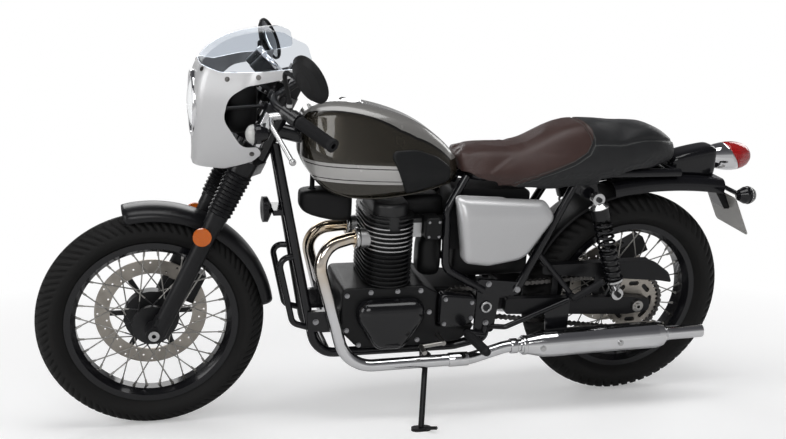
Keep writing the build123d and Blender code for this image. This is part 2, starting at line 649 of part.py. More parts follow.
def swingarm():
    arm = slab(outline([*ARM_TOP, (-776, 354), (-776, 314), (-700, 306), (-296, 328)],
                       [10, 40, 12, 12, 40, 10]), *ARM_Y)
    link = slab(outline([(-237, 372), (-340, 368), (-340, 336), (-237, 332)], [4, 4, 4, 4]), 62, 94)
    stud = disc(SHOCK_FOOT[0], SHOCK_FOOT[1], 8, ARM_Y[0], SHOCK_Y + 18)
    lug = slab(outline([(-625, 360), (-680, 360), (-664, 392), (-642, 392)], [2, 2, 10, 10]), ARM_Y[0],
               ARM_Y[1] - 12)
    pieces = []
    for piece in (arm, link, stud, lug):
        pieces += both(piece)
    tube = disc(PIVOT[0], PIVOT[1], 22, -PIVOT_PLATE_Y[0] + FIT, PIVOT_PLATE_Y[0] - FIT)
    brace = disc(-322, 352, 20, -ARM_Y[1], ARM_Y[1])
    whole = tube + brace + pieces
    whole -= disc(PIVOT[0], PIVOT[1], AXLE_R + FIT, -300, 300)
    return whole - disc(REAR_AXLE[0], REAR_AXLE[2], AXLE_R + FIT, -300, 300)


def rear_axle():
    x, z = REAR_AXLE[0], REAR_AXLE[2]
    reach = ARM_Y[1]
    bar = disc(x, z, AXLE_R, -reach - 14, reach + 14)
    heads = disc(x, z, 18, reach + FIT, reach + 9) + disc(x, z, 18, -reach - 9, -reach - FIT)
    return bar + heads - disc(x, z, 5, -300, 300)


def rear_caliper():
    x, z = REAR_AXLE[0], REAR_AXLE[2]
    body = Pos(x - 62, REAR_DISC_Y, z + 118) * Rot(0, 28, 0) * Box(92, 56, 52)
    slot = Pos(x, REAR_DISC_Y, z) * Rot(90, 0, 0) * Cylinder(REAR_DISC_R + 6, DISC_T + 5)
    plate = slab(outline([(x + 31, z - 30), (x + 31, z + 26), (x - 40, z + 106), (x - 92, z + 88),
                          (x - 33, z - 30)],
                         [14, 14, 6, 6, 14]), -ARM_Y[0] + FIT, REAR_DISC_Y - DISC_T / 2 - 4)
    return body - slot + plate - disc(x, z, 20, -200, 200)


def shock_damper():
    foot = Vector(SHOCK_FOOT[0], SHOCK_Y, SHOCK_FOOT[1])
    top = Vector(SHOCK_TOP[0], SHOCK_Y, SHOCK_TOP[1])
    line = (top - foot).normalized()
    long = (top - foot).length
    at = Plane(origin=foot, x_dir=(0, 1, 0), z_dir=line)
    core = [(0, 14), (13, 14), (22, 36), (29, 46), (29, 54), (22, 54), (22, 150), (9, 150), (9, long - 62),
            (29, long - 62),
            (30, long - 24), (16, long - 14), (0, long - 14)]
    rod_body = at * revolve(Plane.XZ * make_face(Polyline(*core, close=True)), axis=Axis.Z)
    eyes = disc(foot.X, foot.Z, 19, SHOCK_Y - 8, SHOCK_Y + 8) + disc(top.X, top.Z, 19, SHOCK_Y - 12,
                                                                     SHOCK_Y + 12)
    bores = disc(foot.X, foot.Z, 8 + FIT, 0, 300) + disc(top.X, top.Z, 8 + FIT, 0, 300)
    return rod_body + eyes - bores


def shock_spring():
    foot = Vector(SHOCK_FOOT[0], SHOCK_Y, SHOCK_FOOT[1])
    top = Vector(SHOCK_TOP[0], SHOCK_Y, SHOCK_TOP[1])
    line = (top - foot).normalized()
    low = 54 + FIT
    high = (top - foot).length - 62 - FIT
    turns = 11
    pitch = (high - low) / turns
    points = [(22.4, low)]
    for k in range(turns):
        points += [(28.5, low + pitch * (k + 0.25)), (28.5, low + pitch * (k + 0.55)),
                   (23, low + pitch * (k + 0.8))]
    points += [(23, high), (22.4, high)]
    at = Plane(origin=foot, x_dir=(0, 1, 0), z_dir=line)
    return at * revolve(Plane.XZ * make_face(Polyline(*points, close=True)), axis=Axis.Z)


def crankcase():
    side = outline([(205, DECK_Z), (-40, DECK_Z), (-80, 405), (-205, 396), (-205, 290), (-160, 246),
                    (-60, 238), (150, 238),
                    (205, 296)], [18, 12, 12, 26, 30, 24, 20, 34, 30])
    body = slab(side, -CASE_HALF, CASE_HALF)
    pocket = Pos(-160, 110, 360) * Box(150, 84, 124)
    shaft = disc(GEARBOX[0], GEARBOX[1], 24, 60, CHAIN_Y + 8) \
        + disc(GEARBOX[0], GEARBOX[1], FRONT_PITCH_R - CHAIN_CORE - 0.5, CHAIN_Y - SPROCKET_T / 2,
               CHAIN_Y + SPROCKET_T / 2)
    return body - pocket + shaft


COVER_Y = 48
LEFT_COVER = ((170, 396), (-46, 396), (-40, 330), (20, 240), (105, 240), (160, 330))


def engine_covers():
    left = slab(outline(LEFT_COVER, [40, 40, 50, 40, 40, 50]), CASE_HALF, CASE_HALF + COVER_Y)
    left = fillet(left.edges().group_by(Axis.Y)[-1], 12)
    drive = slab(outline([(-85 - FIT, 408), (-198, 394), (-198, 318), (-160, 300), (-85 - FIT, 300)],
                         [12, 20, 30, 20, 20]),
                 CHAIN_Y + 8 + 5, CASE_HALF + 26)
    drive = fillet(drive.edges().group_by(Axis.Y)[-1], 8)
    right = slab(outline([(150, 392), (-70, 410), (-172, 372), (-172, 292), (-80, 248), (100, 240),
                          (158, 300)],
                         [60, 50, 50, 50, 50, 60, 50]), -CASE_HALF - COVER_Y + 10, -CASE_HALF)
    right = fillet(right.edges().group_by(Axis.Y)[0], 12)
    return [left, drive, right]


def stadium(half_x, half_y, z0, z1):
    """An upright block with round ends left and right."""
    plan = SlotOverall(2 * half_y, 2 * half_x, rotation=90)
    return Pos(ENGINE_X, 0, z0) * extrude(plan, amount=z1 - z0)


def fins(z0, z1, count, inset):
    """A finned core: thin plates of full size on a smaller block."""
    pitch = (z1 - z0) / count
    block = stadium(CYL_HALF_X - inset, CYL_HALF_Y - inset, z0, z1)
    for k in range(count):
        low = z0 + pitch * k + (pitch - FIN_T) * 0.5
        block += stadium(CYL_HALF_X, CYL_HALF_Y, low, low + FIN_T)
    return block


PORT_Y = 64
PORT_Z = 565
PORT_FACE = 150
INTAKE_Z = 597
INTAKE_FACE = -30
AIRBOX_FACE = -120
AIRBOX_HALF = 60


def cylinder_head():
    block = fins(HEAD_Z, HEAD_TOP_Z, 8, 12)
    notch = Pos(ENGINE_X, CYL_HALF_Y, HEAD_TOP_Z) * Box(30, 30, 84)
    block -= [notch, mirror(notch, about=Plane.XZ)]
    cover = stadium(52, 112, HEAD_TOP_Z, HEAD_TOP_Z + 36)
    cover = fillet(cover.edges().group_by(Axis.Z)[-1], 12)
    ports = [Pos(PORT_FACE, side * PORT_Y, PORT_Z) * Rot(0, 90, 0) * Cylinder(
        29, 60, align=HANGING) for side in (1, -1)]
    intake = Pos(INTAKE_FACE, 0, INTAKE_Z) * Box(50, 160, 56, align=(Align.MIN, Align.CENTER, Align.CENTER))
    return block + cover + ports + intake


def bevel_tower():
    y = -CYL_HALF_Y - 24
    base = 402
    tube = Pos(ENGINE_X, y, base) * Cylinder(19, 232, align=STANDING)
    foot = Pos(ENGINE_X, y, base) * Cylinder(27, 22, align=STANDING)
    crown = disc(ENGINE_X, HEAD_TOP_Z - 4, 38, y - 26, -CYL_HALF_Y - FIT)
    return tube + foot + crown


def throttle_body():
    run = INTAKE_FACE - AIRBOX_FACE
    pipe = Pos(AIRBOX_FACE, 50, INTAKE_Z) * Rot(0, 90, 0) * Cylinder(27, run, align=STANDING)
    cap = slab(outline([(-34, 566), (-34, 634), (-84, 634), (-84, 566)], [14, 14, 14, 14]), 60, 112)
    return pipe + fillet(cap.edges().group_by(Axis.Y)[-1], 9)


def airbox():
    side = outline([(AIRBOX_FACE, 706), (-366, 700), (-366, 520), (AIRBOX_FACE, 520)], [16, 16, 16, 16])
    return slab(side, -AIRBOX_HALF, AIRBOX_HALF)


HEADER_END = (-332, 172, 247)
TAIL_END = (-932, 182, 264)


def header_pipe():
    start = (PORT_FACE + FIT, PORT_Y, PORT_Z)
    run = (Vector(*TAIL_END) - Vector(*HEADER_END)).normalized()
    socket = tuple(Vector(*HEADER_END) - run * 46)
    pipe = bent([start, (PORT_FACE + 26, PORT_Y, PORT_Z), (284, 92, 546), (190, 140, 196), (-180, 166, 212),
                 socket,
                 HEADER_END], [40, 72, 100, 120, 100], PIPE_R)
    nut = rod(start, (PORT_FACE + 16, PORT_Y, PORT_Z), 26)
    return pipe + nut


def silencer():
    run = Vector(*TAIL_END) - Vector(*HEADER_END)
    long = run.length
    points = [(0, FIT), (24, FIT), (28, 20), (SILENCER_R - 2, 70), (SILENCER_R, 110), (SILENCER_R, 440),
              (SILENCER_R - 5, 462),
              (23, 478), (21, 490), (21, long), (18, long), (18, 480), (0, 480)]
    at = Plane(origin=HEADER_END, x_dir=(0, 1, 0), z_dir=run)
    return at * revolve(Plane.XZ * make_face(Polyline(*points, close=True)), axis=Axis.Z)


# Bodywork

TANK_ROWS = ((322, 806, 908, 50), (302, 764, 936, 92), (240, 704, 957, 120), (140, 687, 950, 132),
             (30, 697, 918, 130),
             (-60, 712, 868, 112), (-112, 724, 822, 88), (-132, 736, 800, 66))
SEAT_ROWS = ((-134.5, 742, 824, 78), (-176, 725, 822, 108), (-270, 714, 823, 121), (-380, 702, 850, 125),
             (-470, 697, 892, 123), (-560, 700, 899, 118), (-700, 738, 892, 106), (-790, 768, 872,
                                                                                   84), (-838, 786, 842,
                                                                                         56))
CAP_X = 176
CAP_SEAT = 940


def tank_loft(grow):
    rows = []
    for x, low, high, half in TANK_ROWS:
        rows.append(body_section(x, low - grow, high + grow, half + grow))
    return loft(rows)


def spine_channel(extra):
    """The channel under the tank for the frame's spine."""
    start = Vector(*on_fork(0, 0, HEAD_LOW + 92))
    end = Vector(SPINE_END[0], 0, SPINE_END[1])
    run = start - end
    at = Plane(origin=end - run, x_dir=(0, 1, 0), z_dir=run)
    half = 22 + FIT + extra
    profile = Circle(half) + Pos(0, -150) * Rectangle(2 * half, 300)
    return extrude(at * profile, amount=3 * run.length)


def fuel_tank(outer):
    inner = []
    for x, low, high, half in TANK_ROWS[1:-1]:
        inner.append(body_section(x, low + PLATE, high - PLATE, half - PLATE))
    hollow = loft(inner) - spine_channel(PLATE)
    recess = Pos(CAP_X, 0, CAP_SEAT) * Cylinder(36, 80, align=STANDING)
    neck = Pos(CAP_X, 0, CAP_SEAT - 6) * Cylinder(40, 80, align=STANDING)
    return outer - spine_channel(0) - (hollow - neck) - recess


def tank_cap():
    base = Pos(CAP_X, 0, CAP_SEAT) * Cylinder(34, 9, align=STANDING)
    top = Pos(CAP_X, 0, CAP_SEAT + 9) * Cylinder(30, 7, align=STANDING)
    return fillet((base + top).edges().group_by(Axis.Z)[-1], 3)


def knee_pad(outer):
    face = outline([(92, 820), (2, 850), (-92, 808), (-108, 770), (-22, 712), (70, 720)],
                   [30, 50, 30, 20, 30, 30])
    return (slab(face, 60, 200) & tank_loft(6)) - outer


def seat():
    rows = [body_section(x, low, high, half, 0.8, 0.4, 0.62) for x, low, high, half in SEAT_ROWS]
    under = Pos(-500, 0, RAIL_Z + RAIL_R + FIT) * Box(900, 2 * 97, 200, align=HANGING)
    return loft(rows) - under


def side_cover():
    line = outline([(-118, 696), (-398, 678), (-424, 632), (-338, 506), (-225, 488), (-150, 498)],
                   [12, 26, 24, 70, 60, 24])
    shell = slab(line, 100, 150)
    shell = fillet(shell.edges().group_by(Axis.Y)[-1], 16)
    bosses = [disc(x, 600, 9, AIRBOX_HALF + FIT, 144) for x in (-190, -330)]
    return shell - slab(offset(line, -5), 90, 142) + bosses


FENDER_R = 1200
FENDER_TOP = RAIL_Z - RAIL_R - FIT
FENDER_X = -830
FENDER_FRONT = -630
FENDER_END = -1010
FENDER_HALF = 84
PLATE_TOP = (-1043, 664)
PLATE_LOW = (-1108, 540)


def plate_x(z):
    """Where the number plate's front face lies at height z, less the fit."""
    share = (PLATE_TOP[1] - z) / (PLATE_TOP[1] - PLATE_LOW[1])
    return PLATE_TOP[0] + (PLATE_LOW[0] - PLATE_TOP[0]) * share + 1.2 * FIT


def rear_fender():
    ring = RectangleRounded(90, 2 * FENDER_HALF, 30) - RectangleRounded(90 - 2 * PLATE,
                                                                        2 * (FENDER_HALF - PLATE), 27)
    arch = (Pos(FENDER_R - 45, 0) * ring) & (Pos(FENDER_R, 0) * Rectangle(84, 4 * FENDER_HALF))
    ahead = degrees(asin((FENDER_FRONT - FENDER_X) / FENDER_R))
    behind = degrees(asin((FENDER_X - FENDER_END) / FENDER_R))
    hoop = revolve(Plane.XY * arch, axis=Axis.Y, revolution_arc=ahead + behind)
    hoop = Pos(FENDER_X, 0, FENDER_TOP - FENDER_R) * Rot(0, -90 - behind, 0) * hoop
    cowl = slab(outline([(-846, 726), (-846, 786), (-930, 806), (-985, 812), (-985, 716)],
                        [2, 20, 60, 4, 4]), -38, 38)
    arm = slab(outline([(-972, 722), (plate_x(716), 716), (plate_x(612), 612), (-1048, 612)], [2, 4, 4, 4]),
               -32, 32)
    return hoop + cowl + arm


def number_plate():
    run = Vector(PLATE_LOW[0] - PLATE_TOP[0], 0, PLATE_LOW[1] - PLATE_TOP[1])
    at = Plane(origin=(PLATE_TOP[0], 0, PLATE_TOP[1]), x_dir=(0, 1, 0), z_dir=Vector(run.Z, 0, -run.X))
    return at * Pos(0, run.length / 2, 0) * extrude(RectangleRounded(184, run.length, 12), amount=2)


LAMP_AXIS = 778


def tail_lamp():
    shell = [(-985.3, 0), (-985.3, 30), (-1006, 40), (-1052, 45), (-1076, 46), (-1076, 0)]
    return Pos(0, 0, LAMP_AXIS) * revolve(make_face(Polyline(*shell, close=True)), axis=Axis.X)


def tail_lens():
    return Pos(0, 0, LAMP_AXIS) * dome(-1076, -1100, 42, 31)


def rear_signal():
    bulb = [(-1070, 0), (-1066, 20), (-1056, SIGNAL_R), (-1036, SIGNAL_R), (-1016, 16), (-1010, 0)]
    body = Pos(0, 142, 690) * revolve(make_face(Polyline(*bulb, close=True)), axis=Axis.X)
    return body + disc(-1016, 694, 7, 32 + FIT, 142)


def footpegs():
    rider = disc(-172, 284, 13, 145 + FIT, 160) + rod((-172, 152, 284), (-192, 262, 276), 13)
    ball = Pos(-192, 262, 276) * Sphere(13)
    passenger = disc(-496, 386, 9, 146 + FIT, 166) + rod((-493, 160, 382), (-586, 164, 436), 11)
    return both(rider + ball) + both(passenger)


def foot_levers():
    shaft = disc(-92, 268, 7, CASE_HALF + FIT, 172)
    gear = shaft + rod((-92, 168, 268), (-24, 172, 262), 6) + rod((-24, 168, 262), (-24, 208, 258), 7)
    pedal = bent([(-156, -151, 282), (-120, -168, 262), (-24, -172, 258)], [20], 6) \
        + Pos(-20, -186, 260) * Box(34, 46, 9)
    pedal -= rod((-172, -140, 284), (-192, -262, 276), 13 + FIT)
    return [gear, pedal]


def horn():
    shell = [(0, 0), (0, 14), (8, 30), (12, 37), (26, 37), (28, 30), (24, 12), (24, 0)]
    return Pos(HORN_BACK, 0, HORN_Z) * revolve(make_face(Polyline(*shell, close=True)), axis=Axis.X)


def chain_guard():
    face = outline([(-416, 470), (-780, 474), (-842, 430), (-856, 396), (-812, 404), (-416, 442)],
                   [8, 60, 40, 4, 40, 8])
    wall = slab(face, CHAIN_Y + 12, CHAIN_Y + 12 + PLATE)
    roof = slab(outline([(-416, 470), (-770, 474), (-770, 471), (-416, 467)], [0, 0, 0, 0]), CHAIN_Y - 14,
                CHAIN_Y + 13)
    stay = []
    for x in (-460, -600):
        foot = arm_top(x) + FIT
        tab = outline([(x + 10, 460), (x - 10, 460), (x - 10, foot), (x + 10, foot)], [2, 2, 2, 2])
        stay.append(slab(tab, CHAIN_Y + 12, CHAIN_Y + 12 + PLATE))
    return wall + roof + stay


def side_stand():
    pivot = Plane(origin=STAND_PIVOT, x_dir=(1, 0, 0), z_dir=STAND_AXIS)
    eye = pivot * Cylinder(15, STAND_EYE_T)
    ground = Plane(origin=STAND_FOOT, x_dir=(1, 0, 0), z_dir=STAND_UP)
    foot = ground * extrude(SlotOverall(58, 34), amount=9)
    leg = rod(STAND_PIVOT, tuple(STAND_FOOT + STAND_UP * 6), 8.5)
    flush = ground * Box(300, 300, 100, align=HANGING)
    tang = rod(tuple(STAND_FOOT + STAND_UP * 5), tuple(STAND_FOOT + STAND_UP * 16 + Vector(-34, 40, 8)), 5)
    bore = pivot * Cylinder(STAND_PIN_R + FIT, 100)
    return eye + foot + leg + tang - bore - flush


def build():
    at_front = Pos(*FRONT_AXLE)
    at_rear = Pos(*REAR_AXLE)
    tank_body = tank_loft(0)
    skin = fairing_shell(0) - fairing_shell(PLATE)
    return {
        "frame": frame(),
        "swingarm": swingarm(),
        "crankcase": crankcase(),
        "engine_covers": engine_covers(),
        "cylinder_block": fins(DECK_Z, HEAD_Z, 8, 10),
        "cylinder_head": cylinder_head(),
        "bevel_tower": bevel_tower(),
        "throttle_bodies": both(throttle_body()),
        "airbox": airbox(),
        "header_pipes": both(header_pipe()),
        "silencers": both(silencer()),
        "fuel_tank": fuel_tank(tank_body),
        "tank_cap": tank_cap(),
        "knee_pads": both(knee_pad(tank_body)),
        "seat": seat(),
        "side_covers": both(side_cover()),
        "rear_fender": rear_fender(),
        "number_plate": number_plate(),
        "tail_lamp": tail_lamp(),
        "tail_lens": tail_lens(),
        "rear_signals": both(rear_signal()),
        "shock_dampers": both(shock_damper()),
        "shock_springs": both(shock_spring()),
        "chain": chain(),
        "chain_guard": chain_guard(),
        "rear_axle": rear_axle(),
        "rear_caliper": rear_caliper(),
        "footpegs": footpegs(),
        "foot_levers": foot_levers(),
        "horn": horn(),
        "fork_yokes": fork_yokes(),
        "fork_tubes": both(fork_tube()),
        "fork_gaiters": both(gaiter()),
        "fork_sliders": both(slider()),
        "front_axle": front_axle(),
        "front_fender": front_fender(),
        "front_caliper": front_caliper(),
        "reflectors": both(reflector()),
        "headlamp": headlamp(),
        "headlamp_lens": headlamp_lens(),
        "fairing": fairing(skin),
        "windscreen": windscreen(skin),
        "fairing_stays": [both(piece) for piece in fairing_stay()],
        "gauges": gauges(),
        "front_signals": both(front_signal()),
        "handlebar": handlebar(),
        "grips": both(grip()),
        "hand_levers": both(hand_lever()),
        "mirrors": both(mirror_head()),
        "front_tyre": at_front * tyre(FRONT_TYRE_R, FRONT_TYRE_W, FRONT_RIM_HALF),
        "front_rim": at_front * rim(FRONT_RIM_HALF),
        "front_hub": at_front * front_hub(),
        "front_disc": at_front * brake_disc(FRONT_DISC_R, 42, 60, 23, FRONT_DISC_Y, 12),
        "rear_tyre": at_rear * tyre(REAR_TYRE_R, REAR_TYRE_W, REAR_RIM_HALF),
        "rear_rim": at_rear * rim(REAR_RIM_HALF),
        "rear_hub": at_rear * rear_hub(),
        "rear_disc": at_rear * brake_disc(REAR_DISC_R, 38, 46, 19, REAR_DISC_Y, 10),
        "sprocket": at_rear * sprocket(),
        "side_stand": side_stand(),
    }


def solids_of(piece):
    """The separate solids of one node."""
    if isinstance(piece, list):
        found = []
        for item in piece:
            found += solids_of(item)
        return found
    return list(piece.solids())


def main():
    os.makedirs("parts", exist_ok=True)
    stance = Rot(-LEAN_DEG, 0, 0)
    nodes = {name: [stance * solid for solid in solids_of(piece)] for name, piece in build().items()}
    box = Compound([solid for solids in nodes.values() for solid in solids]).bounding_box()
    home = Pos(-(box.min.X + box.max.X) / 2, -(box.min.Y + box.max.Y) / 2, 0)
    for name, solids in nodes.items():
        export_step(Compound([home * solid for solid in solids]), f"parts/{name}.step")


main()
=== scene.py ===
import json
import math

import bmesh
import bpy
from mathutils import Matrix, Vector
from mathutils.bvhtree import BVHTree
from mathutils.kdtree import KDTree


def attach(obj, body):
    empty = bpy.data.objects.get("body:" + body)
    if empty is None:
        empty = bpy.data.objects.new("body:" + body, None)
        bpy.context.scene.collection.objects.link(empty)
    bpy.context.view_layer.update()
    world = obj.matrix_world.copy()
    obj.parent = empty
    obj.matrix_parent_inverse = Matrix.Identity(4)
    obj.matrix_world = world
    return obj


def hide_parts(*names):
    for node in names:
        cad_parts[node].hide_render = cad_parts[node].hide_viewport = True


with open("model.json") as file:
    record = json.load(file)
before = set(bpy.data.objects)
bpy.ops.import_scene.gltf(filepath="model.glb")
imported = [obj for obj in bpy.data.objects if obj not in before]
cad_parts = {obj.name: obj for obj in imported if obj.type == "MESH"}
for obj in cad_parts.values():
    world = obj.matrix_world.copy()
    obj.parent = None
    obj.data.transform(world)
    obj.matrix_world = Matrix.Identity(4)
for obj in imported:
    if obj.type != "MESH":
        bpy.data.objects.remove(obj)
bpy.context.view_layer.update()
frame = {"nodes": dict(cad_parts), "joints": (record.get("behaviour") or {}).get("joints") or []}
print("frame loaded:", len(frame["nodes"]), "nodes")

# The bike's own axes, from its joints: x forward from mid wheelbase, y to the rider's left, z up its lean
mm = 0.001
joints = {joint["name"]: joint for joint in frame["joints"]}
frontHub = Vector(joints["front_wheel"]["pos_m"])
rearHub = Vector(joints["rear_wheel"]["pos_m"])
foreAxis = Vector((1, 0, 0))
leftAxis = Vector(joints["rear_wheel"]["axis"])
upAxis = foreAxis.cross(leftAxis)
steerAxis = Vector(joints["steering"]["axis"])


def axesFrame(origin, across, along, up):
    made = Matrix((across, along, up)).transposed().to_4x4()
    made.translation = origin
    return made


wheelbase = (frontHub - rearHub).x
groundPoint = rearHub + foreAxis * wheelbase / 2 - upAxis * rearHub.z / upAxis.z
bikeFrame = axesFrame(groundPoint, foreAxis, leftAxis, upAxis)
forkFrame = axesFrame(Vector(joints["steering"]["pos_m"]), leftAxis.cross(steerAxis), leftAxis, steerAxis)
frontWheelFrame = axesFrame(frontHub, foreAxis, leftAxis, upAxis)
rearWheelFrame = axesFrame(rearHub, foreAxis, leftAxis, upAxis)


def onBike(x, y, z):  # a point given in millimetres on the upright bike
    return bikeFrame @ (Vector((x, y, z)) * mm)


def alongBike(x, y, z):  # a direction on the upright bike
    return bikeFrame.to_3x3() @ Vector((x, y, z))


def facingFrame(origin, direction):  # z along the direction
    turn = direction.normalized().to_track_quat("Z", "Y")
    return Matrix.Translation(origin) @ turn.to_matrix().to_4x4()


# Node helpers, shared by shader trees and geometry trees
def grow(tree, kind, inputs=None, **attributes):
    node = tree.nodes.new(kind)
    for key, value in attributes.items():
        setattr(node, key, value)
    for key, value in (inputs or {}).items():
        if isinstance(value, bpy.types.NodeSocket):
            tree.links.new(value, node.inputs[key])
        else:
            node.inputs[key].default_value = value
    return node


def maths(tree, operation, first, second=0.0, third=0.0):
    return grow(tree, "ShaderNodeMath", {0: first, 1: second, 2: third}, operation=operation).outputs[0]


def between(tree, value, low, high):
    above = maths(tree, "GREATER_THAN", value, low)
    below = maths(tree, "LESS_THAN", value, high)
    return maths(tree, "MULTIPLY", above, below)


def mixColour(tree, factor, first, second):
    return grow(tree, "ShaderNodeMix", {0: factor, 6: first, 7: second}, data_type="RGBA").outputs[2]


def spotIn(tree, space):  # object coordinates turned into one of the bike's own frames, in metres
    coords = grow(tree, "ShaderNodeTexCoord").outputs["Object"]
    place, turn, size = space.inverted().decompose()
    inputs = {"Vector": coords, "Location": place, "Rotation": turn.to_euler()}
    return grow(tree, "ShaderNodeMapping", inputs).outputs[0]


def axesOf(tree, spot):
    return grow(tree, "ShaderNodeSeparateXYZ", {0: spot}).outputs


def clouds(tree, spot, scale, detail=3.0):
    inputs = {"Vector": spot, "Scale": scale, "Detail": detail}
    return grow(tree, "ShaderNodeTexNoise", inputs).outputs["Fac"]


def lookup(tree, value, pairs):  # reads a result off (value, result) pairs, straight between them
    low, high = pairs[0][0], pairs[-1][0]
    least, most = min(pair[1] for pair in pairs), max(pair[1] for pair in pairs)
    share = maths(tree, "DIVIDE", maths(tree, "SUBTRACT", value, low), high - low)
    ramp = grow(tree, "ShaderNodeValToRGB", {0: share})
    stops = ramp.color_ramp.elements
    while len(stops) < len(pairs):
        stops.new(0.5)
    for stop, (place, result) in zip(stops, pairs):
        grey = (result - least) / (most - least)
        stop.position = (place - low) / (high - low)
        stop.color = (grey, grey, grey, 1)
    return maths(tree, "MULTIPLY_ADD", ramp.outputs[0], most - least, least)


def shade(colour, factor):
    return tuple(channel * factor for channel in colour[:3]) + (1.0,)


def newMaterial(name):
    material = bpy.data.materials.new(name)
    material.use_nodes = True
    tree = material.node_tree
    return material, tree, tree.nodes["Principled BSDF"]


def addBump(tree, shader, height, depth, strength=1.0):
    bump = grow(tree, "ShaderNodeBump", {"Height": height, "Distance": depth, "Strength": strength})
    tree.links.new(bump.outputs[0], shader.inputs["Normal"])


def roughnessFrom(tree, shader, cloud, rough, spread):
    value = maths(tree, "MULTIPLY_ADD", cloud, 2 * spread, rough - spread)
    tree.links.new(value, shader.inputs["Roughness"])


# Plain finishes: colour, roughness, metal, mirror level, clear coat, grain per metre, grain depth in metres
finishTable = {
    "glossBlack": ((0.006, 0.006, 0.0075), 0.17, 0.0, 0.3, 0.25, 60, 0.00002),
    "satinBlack": ((0.008, 0.008, 0.009), 0.3, 0.0, 0.25, 0.05, 900, 0.00005),
    "castBlack": ((0.009, 0.009, 0.0095), 0.36, 0.0, 0.22, 0.0, 1400, 0.0001),
    "coverBlack": ((0.006, 0.006, 0.007), 0.2, 0.0, 0.25, 0.45, 200, 0.00003),
    "mouldedBlack": ((0.009, 0.009, 0.0095), 0.48, 0.0, 0.2, 0.0, 2200, 0.0001),
    "sliderBlack": ((0.008, 0.008, 0.009), 0.4, 0.0, 0.25, 0.0, 1200, 0.00006),
    "gaiterRubber": ((0.007, 0.007, 0.008), 0.34, 0.0, 0.25, 0.0, 700, 0.00008),
    "gripRubber": ((0.011, 0.011, 0.012), 0.6, 0.0, 0.2, 0.0, 1600, 0.0001),
    "padRubber": ((0.009, 0.0095, 0.01), 0.48, 0.0, 0.22, 0.0, 1800, 0.00008),
    "chrome": ((0.72, 0.72, 0.73), 0.06, 1.0, 0.5, 0.0, 40, 0.00001),
    "brightAlloy": ((0.5, 0.5, 0.5), 0.25, 1.0, 0.5, 0.0, 500, 0.00003),
    "steel": ((0.4, 0.39, 0.37), 0.3, 1.0, 0.5, 0.0, 800, 0.00003),
    "boltSteel": ((0.34, 0.34, 0.35), 0.3, 1.0, 0.5, 0.0, 1200, 0.00003),
    "darkSteel": ((0.12, 0.115, 0.11), 0.38, 1.0, 0.5, 0.0, 900, 0.00004),
    "plateGrey": ((0.36, 0.35, 0.33), 0.4, 0.0, 0.4, 0.2, 400, 0.00004),
    "dialBlack": ((0.008, 0.008, 0.009), 0.4, 0.0, 0.4, 0.3, 900, 0.00002),
    "dialWhite": ((0.7, 0.7, 0.68), 0.5, 0.0, 0.4, 0.0, 900, 0.00001),
    "needleRed": ((0.5, 0.03, 0.02), 0.4, 0.0, 0.4, 0.3, 900, 0.00001),
    "mirrorGlass": ((0.8, 0.82, 0.83), 0.02, 1.0, 0.5, 0.0, 10, 0.00001),
    "paleThread": ((0.1, 0.105, 0.1), 0.7, 0.0, 0.3, 0.0, 3000, 0.0001),
}


plainSettings = {"mottle": 9.0, "dark": 0.86, "light": 1.14, "cloud": 35.0, "spread": 0.15, "coatRough": 0.05}


def plainFinish(name):
    s = plainSettings
    colour, rough, metal, mirror, coat, grain, depth = finishTable[name]
    material, tree, shader = newMaterial(name)
    spot = spotIn(tree, bikeFrame)
    mottle = clouds(tree, spot, s["mottle"])
    tree.links.new(mixColour(tree, mottle, shade(colour, s["dark"]), shade(colour, s["light"])),
                   shader.inputs["Base Color"])
    roughnessFrom(tree, shader, clouds(tree, spot, s["cloud"]), rough, s["spread"] * rough)
    addBump(tree, shader, clouds(tree, spot, grain), depth)
    shader.inputs["Metallic"].default_value = metal
    shader.inputs["Specular IOR Level"].default_value = mirror
    shader.inputs["Coat Weight"].default_value = coat
    shader.inputs["Coat Roughness"].default_value = s["coatRough"]
    return material


finishes = {name: plainFinish(name) for name in finishTable}

silverPaintSettings = {"dark": (0.54, 0.54, 0.545, 1), "light": (0.62, 0.62, 0.625, 1), "metal": 0.35,
                       "coat": 0.3, "coatRough": 0.12, "flakes": 2600.0, "flakeDeep": 0.000006, "cloud": 7.0,
                       "spread": 0.012}


def silverPaint(name, rough):
    s = silverPaintSettings
    material, tree, shader = newMaterial(name)
    spot = spotIn(tree, bikeFrame)
    flakes = grow(tree, "ShaderNodeTexVoronoi", {"Vector": spot, "Scale": s["flakes"]}).outputs["Color"]
    glint = axesOf(tree, flakes)[0]
    tree.links.new(mixColour(tree, glint, s["dark"], s["light"]), shader.inputs["Base Color"])
    roughnessFrom(tree, shader, clouds(tree, spot, s["cloud"]), rough, s["spread"])
    addBump(tree, shader, glint, s["flakeDeep"])
    shader.inputs["Metallic"].default_value = s["metal"]
    shader.inputs["Coat Weight"].default_value = s["coat"]
    shader.inputs["Coat Roughness"].default_value = s["coatRough"]
    return material


finishes["fairingSilver"] = silverPaint("fairingSilver", 0.38)
finishes["coverSilver"] = silverPaint("coverSilver", 0.33)

